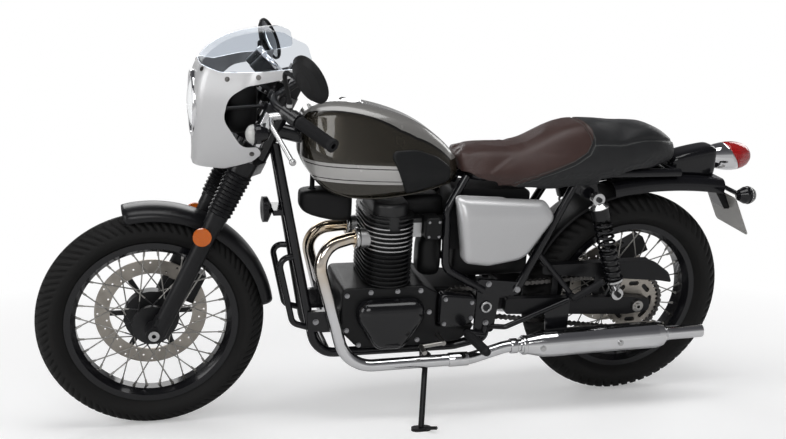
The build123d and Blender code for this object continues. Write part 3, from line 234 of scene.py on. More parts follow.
# Tank paint, sizes in metres on the bike: side band edges at two stations along x, top stripe and pin lines
tankPaintSettings = {
    "base": (0.012, 0.0105, 0.0075, 1), "flake": (0.1, 0.084, 0.056, 1), "silver": (0.5, 0.49, 0.475, 1),
    "stripe": (0.2, 0.195, 0.185, 1), "line": (0.008, 0.007, 0.006, 1),
    "stripeHalf": ((-0.11, 0.067), (-0.06, 0.0755), (0.0, 0.0835), (0.05, 0.0845), (0.12, 0.0775),
                   (0.2, 0.07), (0.25, 0.063), (0.28, 0.055), (0.306, 0.038), (0.33, 0.026)),
    "stripeLow": 0.795, "lineWide": 0.0035,
    "bandFront": 0.3, "bandRear": 0.03, "topFront": 0.8045, "topRear": 0.792, "lowFront": 0.747,
    "lowRear": 0.7355, "pinShare": 0.2, "pinWide": 0.05,
}


def tankPaint():
    s = tankPaintSettings
    material, tree, shader = newMaterial("tankPaint")
    spot = spotIn(tree, bikeFrame)
    x, y, z = axesOf(tree, spot)
    side = maths(tree, "ABSOLUTE", y)
    flakes = grow(tree, "ShaderNodeTexVoronoi", {"Vector": spot, "Scale": 3200.0}).outputs["Color"]
    glint = maths(tree, "POWER", axesOf(tree, flakes)[0], 3.0)
    colour = mixColour(tree, glint, s["base"], s["flake"])

    run = maths(tree, "DIVIDE", maths(tree, "SUBTRACT", x, s["bandRear"]), s["bandFront"] - s["bandRear"])
    top = maths(tree, "MULTIPLY_ADD", run, s["topFront"] - s["topRear"], s["topRear"])
    low = maths(tree, "MULTIPLY_ADD", run, s["lowFront"] - s["lowRear"], s["lowRear"])
    share = maths(tree, "DIVIDE", maths(tree, "SUBTRACT", z, low), maths(tree, "SUBTRACT", top, low))
    fromEdge = maths(tree, "SUBTRACT", 0.5, maths(tree, "ABSOLUTE", maths(tree, "SUBTRACT", share, 0.5)))
    inBand = maths(tree, "MULTIPLY", maths(tree, "GREATER_THAN", fromEdge, 0.0),
                   maths(tree, "GREATER_THAN", x, s["bandRear"]))
    pin = between(tree, fromEdge, s["pinShare"] - s["pinWide"], s["pinShare"])
    colour = mixColour(tree, inBand, colour, s["silver"])
    colour = mixColour(tree, maths(tree, "MULTIPLY", pin, inBand), colour, s["line"])

    upper = maths(tree, "GREATER_THAN", z, s["stripeLow"])
    past = maths(tree, "SUBTRACT", side, lookup(tree, x, s["stripeHalf"]))
    onStripe = maths(tree, "MULTIPLY", upper, maths(tree, "LESS_THAN", past, 0.0))
    edge = maths(tree, "MULTIPLY", upper, between(tree, past, 0.0, s["lineWide"]))
    colour = mixColour(tree, onStripe, colour, s["stripe"])
    colour = mixColour(tree, edge, colour, s["line"])
    tree.links.new(colour, shader.inputs["Base Color"])
    roughnessFrom(tree, shader, clouds(tree, spot, 18.0), 0.26, 0.04)
    addBump(tree, shader, clouds(tree, spot, 260.0), 0.000015)
    flat = maths(tree, "MAXIMUM", inBand, onStripe)
    tree.links.new(maths(tree, "MULTIPLY_ADD", flat, -0.45, 0.6), shader.inputs["Metallic"])
    shader.inputs["Coat Weight"].default_value = 0.8
    shader.inputs["Coat Roughness"].default_value = 0.03
    return material


finishes["tankPaint"] = tankPaint()

# Seat cover: where the brown panel ends, as (height, x) down the side, in metres
seatCoverSettings = {
    "brown": (0.034, 0.016, 0.0135, 1), "brownLight": (0.056, 0.028, 0.0235, 1),
    "black": (0.007, 0.0073, 0.008, 1), "blackLight": (0.014, 0.0146, 0.016, 1),
    "border": ((0.7, -0.28), (0.732, -0.312), (0.746, -0.354), (0.769, -0.414), (0.795, -0.478),
               (0.826, -0.523), (0.858, -0.541), (0.882, -0.541), (0.905, -0.523)),
}


def seatCover():
    s = seatCoverSettings
    material, tree, shader = newMaterial("seatCover")
    spot = spotIn(tree, bikeFrame)
    x, y, z = axesOf(tree, spot)
    brownPart = maths(tree, "GREATER_THAN", x, lookup(tree, z, s["border"]))
    worn = clouds(tree, spot, 26.0, 5.0)
    brown = mixColour(tree, worn, s["brown"], s["brownLight"])
    black = mixColour(tree, worn, s["black"], s["blackLight"])
    tree.links.new(mixColour(tree, brownPart, black, brown), shader.inputs["Base Color"])
    roughnessFrom(tree, shader, worn, 0.42, 0.07)
    pores = grow(tree, "ShaderNodeTexVoronoi", {"Vector": spot, "Scale": 750.0}).outputs["Distance"]
    addBump(tree, shader, pores, 0.0005, 0.5)
    shader.inputs["Sheen Weight"].default_value = 0.04
    shader.inputs["Specular IOR Level"].default_value = 0.4
    return material


finishes["seatCover"] = seatCover()


def tyreRubber():
    material, tree, shader = newMaterial("tyreRubber")
    spot = spotIn(tree, bikeFrame)
    dusty = clouds(tree, spot, 12.0, 5.0)
    colour = mixColour(tree, dusty, (0.006, 0.006, 0.006, 1), (0.014, 0.0135, 0.013, 1))
    tree.links.new(colour, shader.inputs["Base Color"])
    roughnessFrom(tree, shader, dusty, 0.66, 0.1)
    addBump(tree, shader, clouds(tree, spot, 900.0), 0.00015)
    shader.inputs["Specular IOR Level"].default_value = 0.2
    return material


finishes["tyreRubber"] = tyreRubber()

finSettings = {"middle": 0.062, "straight": 0.056, "edge": 0.0712, "low": 0.535, "high": 0.612}


def finMetal():  # black fins whose rims are machined bright on the lower half of the head
    s = finSettings
    material, tree, shader = newMaterial("finMetal")
    spot = spotIn(tree, bikeFrame)
    x, y, z = axesOf(tree, spot)
    over = maths(tree, "MAXIMUM", maths(tree, "SUBTRACT", maths(tree, "ABSOLUTE", y), s["straight"]), 0.0)
    ahead = maths(tree, "SUBTRACT", x, s["middle"])
    squares = maths(tree, "ADD", maths(tree, "MULTIPLY", over, over), maths(tree, "MULTIPLY", ahead, ahead))
    reach = maths(tree, "SQRT", squares)
    rim = maths(tree, "MULTIPLY", maths(tree, "GREATER_THAN", reach, s["edge"]),
                between(tree, z, s["low"], s["high"]))
    tree.links.new(mixColour(tree, rim, (0.009, 0.009, 0.0095, 1), (0.5, 0.5, 0.5, 1)),
                   shader.inputs["Base Color"])
    tree.links.new(rim, shader.inputs["Metallic"])
    roughnessFrom(tree, shader, clouds(tree, spot, 60.0), 0.38, 0.08)
    addBump(tree, shader, clouds(tree, spot, 1400.0), 0.0001)
    return material


finishes["finMetal"] = finMetal()

headerSettings = {"chrome": (0.72, 0.72, 0.73, 1), "straw": (0.6, 0.46, 0.29, 1), "hotZ": 0.36}


def headerChrome():  # chrome with a straw tint on the hot first bend
    s = headerSettings
    material, tree, shader = newMaterial("headerChrome")
    spot = spotIn(tree, bikeFrame)
    x, y, z = axesOf(tree, spot)
    rise = maths(tree, "MULTIPLY", maths(tree, "SUBTRACT", z, s["hotZ"]), 9.0)
    cloud = maths(tree, "MULTIPLY", clouds(tree, spot, 16.0), 0.9)
    heat = grow(tree, "ShaderNodeClamp", {0: maths(tree, "MULTIPLY", rise, cloud)}).outputs[0]
    tree.links.new(mixColour(tree, heat, s["chrome"], s["straw"]), shader.inputs["Base Color"])
    shader.inputs["Metallic"].default_value = 1.0
    roughnessFrom(tree, shader, clouds(tree, spot, 30.0), 0.08, 0.03)
    return material


finishes["headerChrome"] = headerChrome()


def wheelFinish(name, space, inside, outside, split, insideMetal, outsideMetal):
    # one colour near the axle and another beyond the split radius, with rings left by the lathe
    material, tree, shader = newMaterial(name)
    spot = spotIn(tree, space)
    x, y, z = axesOf(tree, spot)
    radius = maths(tree, "SQRT",
                   maths(tree, "ADD", maths(tree, "MULTIPLY", x, x), maths(tree, "MULTIPLY", z, z)))
    outer = maths(tree, "GREATER_THAN", radius, split)
    worn = clouds(tree, spot, 40.0)
    near = mixColour(tree, worn, shade(inside, 0.85), shade(inside, 1.15))
    far = mixColour(tree, worn, shade(outside, 0.85), shade(outside, 1.15))
    tree.links.new(mixColour(tree, outer, near, far), shader.inputs["Base Color"])
    tree.links.new(maths(tree, "MULTIPLY_ADD", outer, outsideMetal - insideMetal, insideMetal),
                   shader.inputs["Metallic"])
    roughnessFrom(tree, shader, worn, 0.32, 0.07)
    rings = maths(tree, "SINE", maths(tree, "MULTIPLY", radius, 4200.0))
    addBump(tree, shader, rings, 0.00004)
    shader.inputs["Specular IOR Level"].default_value = 0.4
    return material


blackHub = (0.008, 0.008, 0.009)
spokeSteel = (0.36, 0.35, 0.33)
discSteel = (0.4, 0.37, 0.33)
finishes["frontHub"] = wheelFinish("frontHub", frontWheelFrame, blackHub, spokeSteel, 0.0795, 0.1, 1.0)
finishes["rearHub"] = wheelFinish("rearHub", rearWheelFrame, blackHub, spokeSteel, 0.076, 0.1, 1.0)
finishes["frontDisc"] = wheelFinish("frontDisc", frontWheelFrame, blackHub, discSteel, 0.116, 0.2, 1.0)
finishes["rearDisc"] = wheelFinish("rearDisc", rearWheelFrame, blackHub, discSteel, 0.096, 0.2, 1.0)
finishes["sprocketSteel"] = wheelFinish("sprocketSteel", rearWheelFrame, discSteel, discSteel, 0.05, 1.0, 1.0)

shockSettings = {"foot": (-0.653, 0.381), "top": (-0.552, 0.686), "brightLow": 0.052, "brightTop": 0.027,
                 "black": (0.008, 0.008, 0.009, 1), "bright": (0.6, 0.6, 0.6, 1)}


def shockMetal():  # the damper's black body, with its foot and top eye left bright
    s = shockSettings
    material, tree, shader = newMaterial("shockMetal")
    spot = spotIn(tree, bikeFrame)
    x, y, z = axesOf(tree, spot)
    span = Vector(s["top"]) - Vector(s["foot"])
    line = span.normalized()
    rise = maths(tree, "MULTIPLY", maths(tree, "SUBTRACT", z, s["foot"][1]), line.y)
    along = maths(tree, "MULTIPLY_ADD", maths(tree, "SUBTRACT", x, s["foot"][0]), line.x, rise)
    black = between(tree, along, s["brightLow"], span.length - s["brightTop"])
    tree.links.new(mixColour(tree, black, s["bright"], s["black"]), shader.inputs["Base Color"])
    tree.links.new(maths(tree, "SUBTRACT", 1.0, black), shader.inputs["Metallic"])
    roughnessFrom(tree, shader, clouds(tree, spot, 50.0), 0.2, 0.05)
    shader.inputs["Specular IOR Level"].default_value = 0.4
    return material


finishes["shockMetal"] = shockMetal()

leverSettings = {"tip": (0.296, 0.345, 0.908), "elbow": (0.431, 0.156, 0.985), "housing": 0.0215}


def leverMetal():  # black housings round the bar, bright blades away from it
    s = leverSettings
    material, tree, shader = newMaterial("leverMetal")
    x, y, z = axesOf(tree, spotIn(tree, bikeFrame))
    spot = grow(tree, "ShaderNodeCombineXYZ", {0: x, 1: maths(tree, "ABSOLUTE", y), 2: z}).outputs[0]
    line = (Vector(s["elbow"]) - Vector(s["tip"])).normalized()
    away = grow(tree, "ShaderNodeVectorMath", {0: spot, 1: s["tip"]}, operation="SUBTRACT").outputs[0]
    share = grow(tree, "ShaderNodeVectorMath", {0: away, 1: line}, operation="DOT_PRODUCT").outputs["Value"]
    foot = grow(tree, "ShaderNodeVectorMath", {0: line, "Scale": share}, operation="SCALE").outputs[0]
    gap = grow(tree, "ShaderNodeVectorMath", {0: away, 1: foot}, operation="DISTANCE").outputs["Value"]
    blade = maths(tree, "GREATER_THAN", gap, s["housing"])
    tree.links.new(mixColour(tree, blade, (0.009, 0.009, 0.01, 1), (0.55, 0.55, 0.55, 1)),
                   shader.inputs["Base Color"])
    tree.links.new(blade, shader.inputs["Metallic"])
    roughnessFrom(tree, shader, clouds(tree, spot, 70.0), 0.27, 0.05)
    return material


finishes["leverMetal"] = leverMetal()


def clearFinish(name, colour, rough, refraction, ribs=0.0, through=1.0):
    material, tree, shader = newMaterial(name)
    spot = spotIn(tree, bikeFrame)
    tint = clouds(tree, spot, 8.0)
    tree.links.new(mixColour(tree, tint, shade(colour, 0.94), shade(colour, 1.0)),
                   shader.inputs["Base Color"])
    shader.inputs["Transmission Weight"].default_value = through
    shader.inputs["Roughness"].default_value = rough
    shader.inputs["IOR"].default_value = refraction
    if ribs:
        cells = grow(tree, "ShaderNodeTexVoronoi", {"Vector": spot, "Scale": ribs}).outputs["Distance"]
        addBump(tree, shader, cells, 0.001, 0.35)
    return material


finishes["screenClear"] = clearFinish("screenClear", (0.72, 0.75, 0.79), 0.01, 1.02)
finishes["lampGlass"] = clearFinish("lampGlass", (0.96, 0.97, 0.98), 0.05, 1.12)
finishes["lensClear"] = clearFinish("lensClear", (0.9, 0.9, 0.88), 0.08, 1.3, 160.0, 0.5)
finishes["lensRed"] = clearFinish("lensRed", (0.42, 0.008, 0.009), 0.12, 1.45, 0.0, 0.08)
finishes["lensAmber"] = clearFinish("lensAmber", (0.75, 0.16, 0.012), 0.1, 1.45, 210.0, 0.15)
print("finishes made:", len(finishes))

# Which finish each CAD node wears
nodeFinish = {
    "frame": "glossBlack", "swingarm": "satinBlack", "cylinder_block": "castBlack",
    "cylinder_head": "finMetal", "bevel_tower": "brightAlloy", "throttle_bodies": "mouldedBlack",
    "airbox": "mouldedBlack", "header_pipes": "headerChrome", "silencers": "chrome", "fuel_tank": "tankPaint",
    "tank_cap": "chrome",
    "rear_fender": "glossBlack", "number_plate": "plateGrey", "rear_signals": "glossBlack",
    "shock_dampers": "shockMetal", "chain_guard": "satinBlack", "rear_axle": "steel",
    "rear_caliper": "castBlack", "footpegs": "gripRubber", "foot_levers": "steel",
    "horn": "satinBlack", "fork_yokes": "satinBlack", "fork_tubes": "chrome", "fork_gaiters": "gaiterRubber",
    "fork_sliders": "sliderBlack", "front_axle": "brightAlloy",
    "front_caliper": "castBlack", "reflectors": "lensAmber", "headlamp": "glossBlack",
    "headlamp_lens": "lampGlass",
    "fairing": "fairingSilver", "windscreen": "screenClear", "fairing_stays": "satinBlack",
    "gauges": "mouldedBlack", "front_signals": "glossBlack", "handlebar": "satinBlack", "grips": "gripRubber",
    "hand_levers": "leverMetal", "mirrors": "mouldedBlack", "front_rim": "glossBlack",
    "front_hub": "frontHub", "front_disc": "frontDisc", "rear_rim": "glossBlack", "rear_hub": "rearHub",
    "rear_disc": "rearDisc", "sprocket": "sprocketSteel", "side_stand": "satinBlack",
}
for nodeName, finishName in nodeFinish.items():
    slots = frame["nodes"][nodeName].data.materials
    slots.clear()
    slots.append(finishes[finishName])
print("frame pieces painted:", len(nodeFinish))


# Mesh helpers
def finishPiece(piece, body, finishName, replaced=(), smooth=True):
    mesh = piece.data
    mesh.materials.clear()
    mesh.materials.append(finishes[finishName])
    mesh.polygons.foreach_set("use_smooth", [smooth] * len(mesh.polygons))
    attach(piece, body)
    if replaced:
        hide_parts(*replaced)


def linked(name, data):
    piece = bpy.data.objects.new(name, data)
    bpy.context.scene.collection.objects.link(piece)
    return piece


def addPiece(name, mesh, body, finishName, replaced=(), smooth=True):
    finishPiece(linked(name, mesh), body, finishName, replaced, smooth)


def meshFrom(shape, name):  # a bmesh as a plain mesh; the bmesh is freed
    mesh = bpy.data.meshes.new(name)
    shape.to_mesh(mesh)
    shape.free()
    return mesh


def evaluated(piece):
    depsgraph = bpy.context.evaluated_depsgraph_get()
    return bpy.data.meshes.new_from_object(piece.evaluated_get(depsgraph), depsgraph=depsgraph)


def lathe(profile, segments, closed=False):  # (radius, height) pairs turned about z, in metres
    shape = bmesh.new()
    rings = []
    for radius, height in profile:
        if radius < 1e-6:
            rings.append([shape.verts.new((0, 0, height))])
            continue
        angles = [2 * math.pi * k / segments for k in range(segments)]
        rings.append([shape.verts.new((radius * math.cos(a), radius * math.sin(a), height)) for a in angles])
    pairs = list(zip(rings, rings[1:]))
    if closed:
        pairs.append((rings[-1], rings[0]))
    for low, high in pairs:
        for k in range(segments):
            after = (k + 1) % segments
            corners = [low[k % len(low)], low[after % len(low)], high[after % len(high)], high[k % len(high)]]
            shape.faces.new(list(dict.fromkeys(corners)))
    bmesh.ops.recalc_face_normals(shape, faces=shape.faces)
    return meshFrom(shape, "turned")


def joined(meshes):
    shape = bmesh.new()
    for mesh in meshes:
        shape.from_mesh(mesh)
    return meshFrom(shape, "joined")


def turnedAt(places, profile, segments, closed=False):  # copies of one turned shape, one at each matrix
    meshes = []
    for place in places:
        mesh = lathe(profile, segments, closed)
        mesh.transform(place)
        meshes.append(mesh)
    return joined(meshes)


def surfaceOf(mesh):
    shape = bmesh.new()
    shape.from_mesh(mesh)
    surface = BVHTree.FromBMesh(shape)
    shape.free()
    return surface


def nodeSurface(name):
    return surfaceOf(frame["nodes"][name].data)


def weldedNode(nodeName, pieceName):  # a copy of a CAD node with its triangles joined up
    shape = bmesh.new()
    shape.from_mesh(frame["nodes"][nodeName].data)
    bmesh.ops.remove_doubles(shape, verts=shape.verts, dist=0.00002)
    bmesh.ops.recalc_face_normals(shape, faces=shape.faces)
    return meshFrom(shape, pieceName)


def bakeModifiers(piece):
    mesh = evaluated(piece)
    piece.modifiers.clear()
    piece.data = mesh


def evened(piece, voxel, ease):  # even faces, with every edge rounded a little
    remesh = piece.modifiers.new("even", "REMESH")
    remesh.mode = "VOXEL"
    remesh.voxel_size = voxel
    smooth = piece.modifiers.new("ease", "SMOOTH")
    smooth.factor = 0.5
    smooth.iterations = ease
    bakeModifiers(piece)


def walled(piece, thick):
    wall = piece.modifiers.new("wall", "SOLIDIFY")
    wall.thickness = thick
    wall.offset = -1
    bakeModifiers(piece)


# Geometry trees
def newTree(name, inputs):
    tree = bpy.data.node_groups.new(name, "GeometryNodeTree")
    tree.interface.new_socket("Geometry", in_out="INPUT", socket_type="NodeSocketGeometry")
    for label, kind in inputs:
        tree.interface.new_socket(label, in_out="INPUT", socket_type="NodeSocket" + kind)
    tree.interface.new_socket("Geometry", in_out="OUTPUT", socket_type="NodeSocketGeometry")
    return tree, tree.nodes.new("NodeGroupInput").outputs


def closeTree(tree, geometry, material):
    realized = grow(tree, "GeometryNodeRealizeInstances", {"Geometry": geometry}).outputs[0]
    painted = grow(tree, "GeometryNodeSetMaterial", {"Geometry": realized, "Material": material}).outputs[0]
    grow(tree, "NodeGroupOutput", {0: painted})


def runTree(source, tree, settings):  # the evaluated result as a plain mesh; the carrier object is removed
    bpy.context.scene.collection.objects.link(source)
    modifier = source.modifiers.new("build", "NODES")
    modifier.node_group = tree
    for item in tree.interface.items_tree:
        if item.in_out == "INPUT" and item.name in settings:
            modifier[item.identifier] = settings[item.name]
    mesh = evaluated(source)
    source.modifiers.remove(modifier)
    bpy.data.objects.remove(source)
    return mesh


def pointCloud(spots):  # carrier with one vertex for each (place, facing)
    mesh = bpy.data.meshes.new("spots")
    mesh.from_pydata([place for place, facing in spots], [], [])
    facing = mesh.attributes.new("facing", "FLOAT_VECTOR", "POINT")
    facing.data.foreach_set("vector", [value for place, way in spots for value in way])
    return bpy.data.objects.new("spots", mesh)


def lineCarrier(points, cyclic=False):
    curve = bpy.data.curves.new("line", "CURVE")
    curve.dimensions = "3D"
    spline = curve.splines.new("POLY")
    spline.points.add(len(points) - 1)
    for point, place in zip(spline.points, points):
        point.co = (*place, 1)
    spline.use_cyclic_u = cyclic
    return bpy.data.objects.new("line", curve)


def fastenerTree():  # a headed screw on a washer at every point, along the point's facing
    sizes = [("Head Radius", "Float"), ("Head Height", "Float"), ("Sides", "Int"), ("Washer Radius", "Float"),
             ("Washer Height", "Float"), ("Material", "Material")]
    tree, given = newTree("fasteners", sizes)
    facing = grow(tree, "GeometryNodeInputNamedAttribute", {"Name": "facing"},
                  data_type="FLOAT_VECTOR").outputs[0]
    turn = grow(tree, "FunctionNodeAlignRotationToVector", {"Vector": facing}, axis="Z").outputs[0]
    parts = []
    rows = (("Head Radius", "Head Height", given["Sides"], given["Washer Height"]),
            ("Washer Radius", "Washer Height", 20, 0.0))
    for radius, height, sides, lift in rows:
        inputs = {"Vertices": sides, "Radius": given[radius], "Depth": given[height]}
        barrel = grow(tree, "GeometryNodeMeshCylinder", inputs).outputs["Mesh"]
        up = maths(tree, "MULTIPLY_ADD", given[height], 0.5, lift)
        offset = grow(tree, "ShaderNodeCombineXYZ", {2: up}).outputs[0]
        parts.append(grow(tree, "GeometryNodeTransform",
                          {"Geometry": barrel, "Translation": offset}).outputs[0])
    join = grow(tree, "GeometryNodeJoinGeometry")
    for part in parts:
        tree.links.new(part, join.inputs[0])
    inputs = {"Points": given["Geometry"], "Instance": join.outputs[0], "Rotation": turn}
    closeTree(tree, grow(tree, "GeometryNodeInstanceOnPoints", inputs).outputs[0], given["Material"])
    return tree


def coilTree():  # a wire coil standing on z
    sizes = [("Turns", "Float"), ("Radius", "Float"), ("Height", "Float"), ("Wire", "Float"),
             ("Material", "Material")]
    tree, given = newTree("coil", sizes)
    inputs = {"Resolution": 26, "Rotations": given["Turns"], "Start Radius": given["Radius"],
              "End Radius": given["Radius"], "Height": given["Height"]}
    helix = grow(tree, "GeometryNodeCurveSpiral", inputs).outputs[0]
    wire = grow(tree, "GeometryNodeCurvePrimitiveCircle",
                {"Resolution": 10, "Radius": given["Wire"]}).outputs[0]
    inputs = {"Curve": helix, "Profile Curve": wire, "Fill Caps": True}
    closeTree(tree, grow(tree, "GeometryNodeCurveToMesh", inputs).outputs[0], given["Material"])
    return tree


def linkTree():  # roller-chain links along a loop that lies across y
    sizes = [("Links", "Int"), ("Pitch", "Float"), ("Plate", "Float"), ("Thick", "Float"),
             ("Inner Gap", "Float"), ("Outer Gap", "Float"), ("Material", "Material")]
    tree, given = newTree("links", sizes)
    half = maths(tree, "MULTIPLY", given["Pitch"], 0.5)
    flat = grow(tree, "ShaderNodeCombineXYZ", {0: given["Pitch"], 1: given["Thick"],
                                              2: maths(tree, "MULTIPLY", given["Plate"], 1.25)}).outputs[0]
    bar = grow(tree, "GeometryNodeMeshCube", {"Size": flat}).outputs["Mesh"]
    quarter = (math.pi / 2, 0, 0)
    side = grow(tree, "GeometryNodeJoinGeometry")
    tree.links.new(bar, side.inputs[0])
    for way in (-1, 1):
        eye = grow(tree, "GeometryNodeMeshCylinder",
                   {"Vertices": 12, "Radius": given["Plate"], "Depth": given["Thick"]})
        shift = grow(tree, "ShaderNodeCombineXYZ", {0: maths(tree, "MULTIPLY", half, way)}).outputs[0]
        inputs = {"Geometry": eye.outputs["Mesh"], "Translation": shift, "Rotation": quarter}
        tree.links.new(grow(tree, "GeometryNodeTransform", inputs).outputs[0], side.inputs[0])
    kinds = []
    for gap, rollers in ((given["Inner Gap"], True), (given["Outer Gap"], False)):
        link = grow(tree, "GeometryNodeJoinGeometry")
        for way in (-1, 1):
            shift = grow(tree, "ShaderNodeCombineXYZ", {1: maths(tree, "MULTIPLY", gap, way)}).outputs[0]
            inputs = {"Geometry": side.outputs[0], "Translation": shift}
            tree.links.new(grow(tree, "GeometryNodeTransform", inputs).outputs[0], link.inputs[0])
            reach = maths(tree, "MULTIPLY", gap, 2.0)
            roll = grow(tree, "GeometryNodeMeshCylinder", {
                "Vertices": 10, "Radius": maths(tree, "MULTIPLY", given["Plate"], 0.62 if rollers else 0.35),
                "Depth": reach if rollers else maths(tree, "MULTIPLY", gap, 2.5)})
            shift = grow(tree, "ShaderNodeCombineXYZ", {0: maths(tree, "MULTIPLY", half, way)}).outputs[0]
            inputs = {"Geometry": roll.outputs["Mesh"], "Translation": shift, "Rotation": quarter}
            tree.links.new(grow(tree, "GeometryNodeTransform", inputs).outputs[0], link.inputs[0])
        kinds.append(link.outputs[0])
    points = grow(tree, "GeometryNodeCurveToPoints", {"Curve": given["Geometry"], "Count": given["Links"]},
                  mode="COUNT")
    odd = maths(tree, "MODULO", grow(tree, "GeometryNodeInputIndex").outputs[0], 2.0)
    join = grow(tree, "GeometryNodeJoinGeometry")
    for kind, chosen in zip(kinds, (odd, maths(tree, "SUBTRACT", 1.0, odd))):
        aimed = grow(tree, "FunctionNodeAlignRotationToVector", {"Vector": points.outputs["Tangent"]},
                     axis="X", pivot_axis="Y").outputs[0]
        inputs = {"Points": points.outputs["Points"], "Selection": chosen, "Instance": kind,
                  "Rotation": aimed}
        tree.links.new(grow(tree, "GeometryNodeInstanceOnPoints", inputs).outputs[0], join.inputs[0])
    closeTree(tree, join.outputs[0], given["Material"])
    return tree


def stitchTree():  # short threads laid end to end along a line
    sizes = [("Pitch", "Float"), ("Length", "Float"), ("Thread", "Float"), ("Material", "Material")]
    tree, given = newTree("stitches", sizes)
    inputs = {"Curve": given["Geometry"], "Length": given["Pitch"]}
    points = grow(tree, "GeometryNodeCurveToPoints", inputs, mode="LENGTH")
    turn = grow(tree, "FunctionNodeAlignRotationToVector", {"Vector": points.outputs["Tangent"]},
                axis="Z").outputs[0]
    inputs = {"Vertices": 6, "Radius": given["Thread"], "Depth": given["Length"]}
    thread = grow(tree, "GeometryNodeMeshCylinder", inputs).outputs["Mesh"]
    inputs = {"Points": points.outputs["Points"], "Instance": thread, "Rotation": turn}
    closeTree(tree, grow(tree, "GeometryNodeInstanceOnPoints", inputs).outputs[0], given["Material"])
    return tree


def ribTree():  # rings round a line, for ribbed rubber
    sizes = [("Count", "Int"), ("Radius", "Float"), ("Rib", "Float"), ("Material", "Material")]
    tree, given = newTree("ribs", sizes)
    points = grow(tree, "GeometryNodeCurveToPoints", {"Curve": given["Geometry"], "Count": given["Count"]},
                  mode="COUNT")
    turn = grow(tree, "FunctionNodeAlignRotationToVector", {"Vector": points.outputs["Tangent"]},
                axis="Z").outputs[0]
    hoop = grow(tree, "GeometryNodeCurvePrimitiveCircle",
                {"Resolution": 28, "Radius": given["Radius"]}).outputs[0]
    bead = grow(tree, "GeometryNodeCurvePrimitiveCircle",
                {"Resolution": 6, "Radius": given["Rib"]}).outputs[0]
    ring = grow(tree, "GeometryNodeCurveToMesh", {"Curve": hoop, "Profile Curve": bead}).outputs[0]
    inputs = {"Points": points.outputs["Points"], "Instance": ring, "Rotation": turn}
    closeTree(tree, grow(tree, "GeometryNodeInstanceOnPoints", inputs).outputs[0], given["Material"])
    return tree


def treadTree():  # grooves sunk along the slanted rows of a tyre mesh
    sizes = [("Depth", "Float"), ("Inner Edge", "Float"), ("Outer Edge", "Float"), ("Material", "Material")]
    tree, given = newTree("tread", sizes)
    groove = grow(tree, "GeometryNodeInputNamedAttribute", {"Name": "groove"}, data_type="FLOAT").outputs[0]
    across = grow(tree, "GeometryNodeInputNamedAttribute", {"Name": "across"}, data_type="FLOAT").outputs[0]
    side = maths(tree, "ABSOLUTE", across)
    zone = between(tree, side, given["Inner Edge"], given["Outer Edge"])
    sink = maths(tree, "MULTIPLY", maths(tree, "MULTIPLY", zone, groove),
                 maths(tree, "MULTIPLY", given["Depth"], -1.0))
    normal = grow(tree, "GeometryNodeInputNormal").outputs[0]
    offset = grow(tree, "ShaderNodeVectorMath", {0: normal, "Scale": sink}, operation="SCALE").outputs[0]
    moved = grow(tree, "GeometryNodeSetPosition",
                 {"Geometry": given["Geometry"], "Offset": offset}).outputs[0]
    closeTree(tree, moved, given["Material"])
    return tree


trees = {"fastener": fastenerTree(), "coil": coilTree(), "link": linkTree(), "stitch": stitchTree(),
         "rib": ribTree(), "tread": treadTree()}
print("geometry trees made:", len(trees))

# Tyres: a turned carcass whose rows slant with the tread, then grooves sunk into it
tyreSettings = {
    "front_tyre": {"body": "front_wheel", "place": frontWheelFrame, "radius": 0.3186, "half": 0.05,
                   "bead": 0.0297, "pitches": 84, "slant": 0.16, "depth": 0.0045, "inner": 0.12,
                   "outer": 0.8},
    "rear_tyre": {"body": "rear_wheel", "place": rearWheelFrame, "radius": 0.3326, "half": 0.065,
                  "bead": 0.0397, "pitches": 66, "slant": 0.14, "depth": 0.005, "inner": 0.1, "outer": 0.74},
}
tyreRows = {"crown": 36, "wall": 7, "beadRadius": 0.229, "lip": 0.2421, "wallBulge": 0.002, "thick": 0.008,
            "steps": (0.0, 0.07, 0.3, 0.37, 0.7), "sunk": (0, 1, 1, 0, 0)}


def tyreProfile(s):  # (radius, y, share across the tread) from the left bead over the crown to the right bead
    rows = []
    centre = s["radius"] - s["half"]
    for k in range(tyreRows["wall"]):
        share = k / tyreRows["wall"]
        bulge = math.sin(math.pi * share) * tyreRows["wallBulge"]
        ridge = 0.0012 if k == tyreRows["wall"] - 2 else 0.0
        radius = tyreRows["lip"] + (centre - tyreRows["lip"]) * share
        rows.append((radius, s["bead"] + (s["half"] - s["bead"]) * share + bulge + ridge, 2.0))
    wall = [(tyreRows["beadRadius"], s["bead"], 2.0)] + rows
    crown = []
    for k in range(tyreRows["crown"] + 1):
        share = 1 - 2 * k / tyreRows["crown"]
        angle = share * math.pi / 2
        crown.append((centre + s["half"] * math.cos(angle), s["half"] * math.sin(angle), share))
    right = [(radius, -y, -share) for radius, y, share in reversed(wall)]
    inside = s["half"] - tyreRows["thick"]
    core = s["bead"] - tyreRows["thick"]
    lining = [(tyreRows["beadRadius"], -core, 3.0), (centre, -inside, 3.0), (centre + inside, 0, 3.0),
              (centre, inside, 3.0), (tyreRows["beadRadius"], core, 3.0)]
    return wall + crown + right + lining


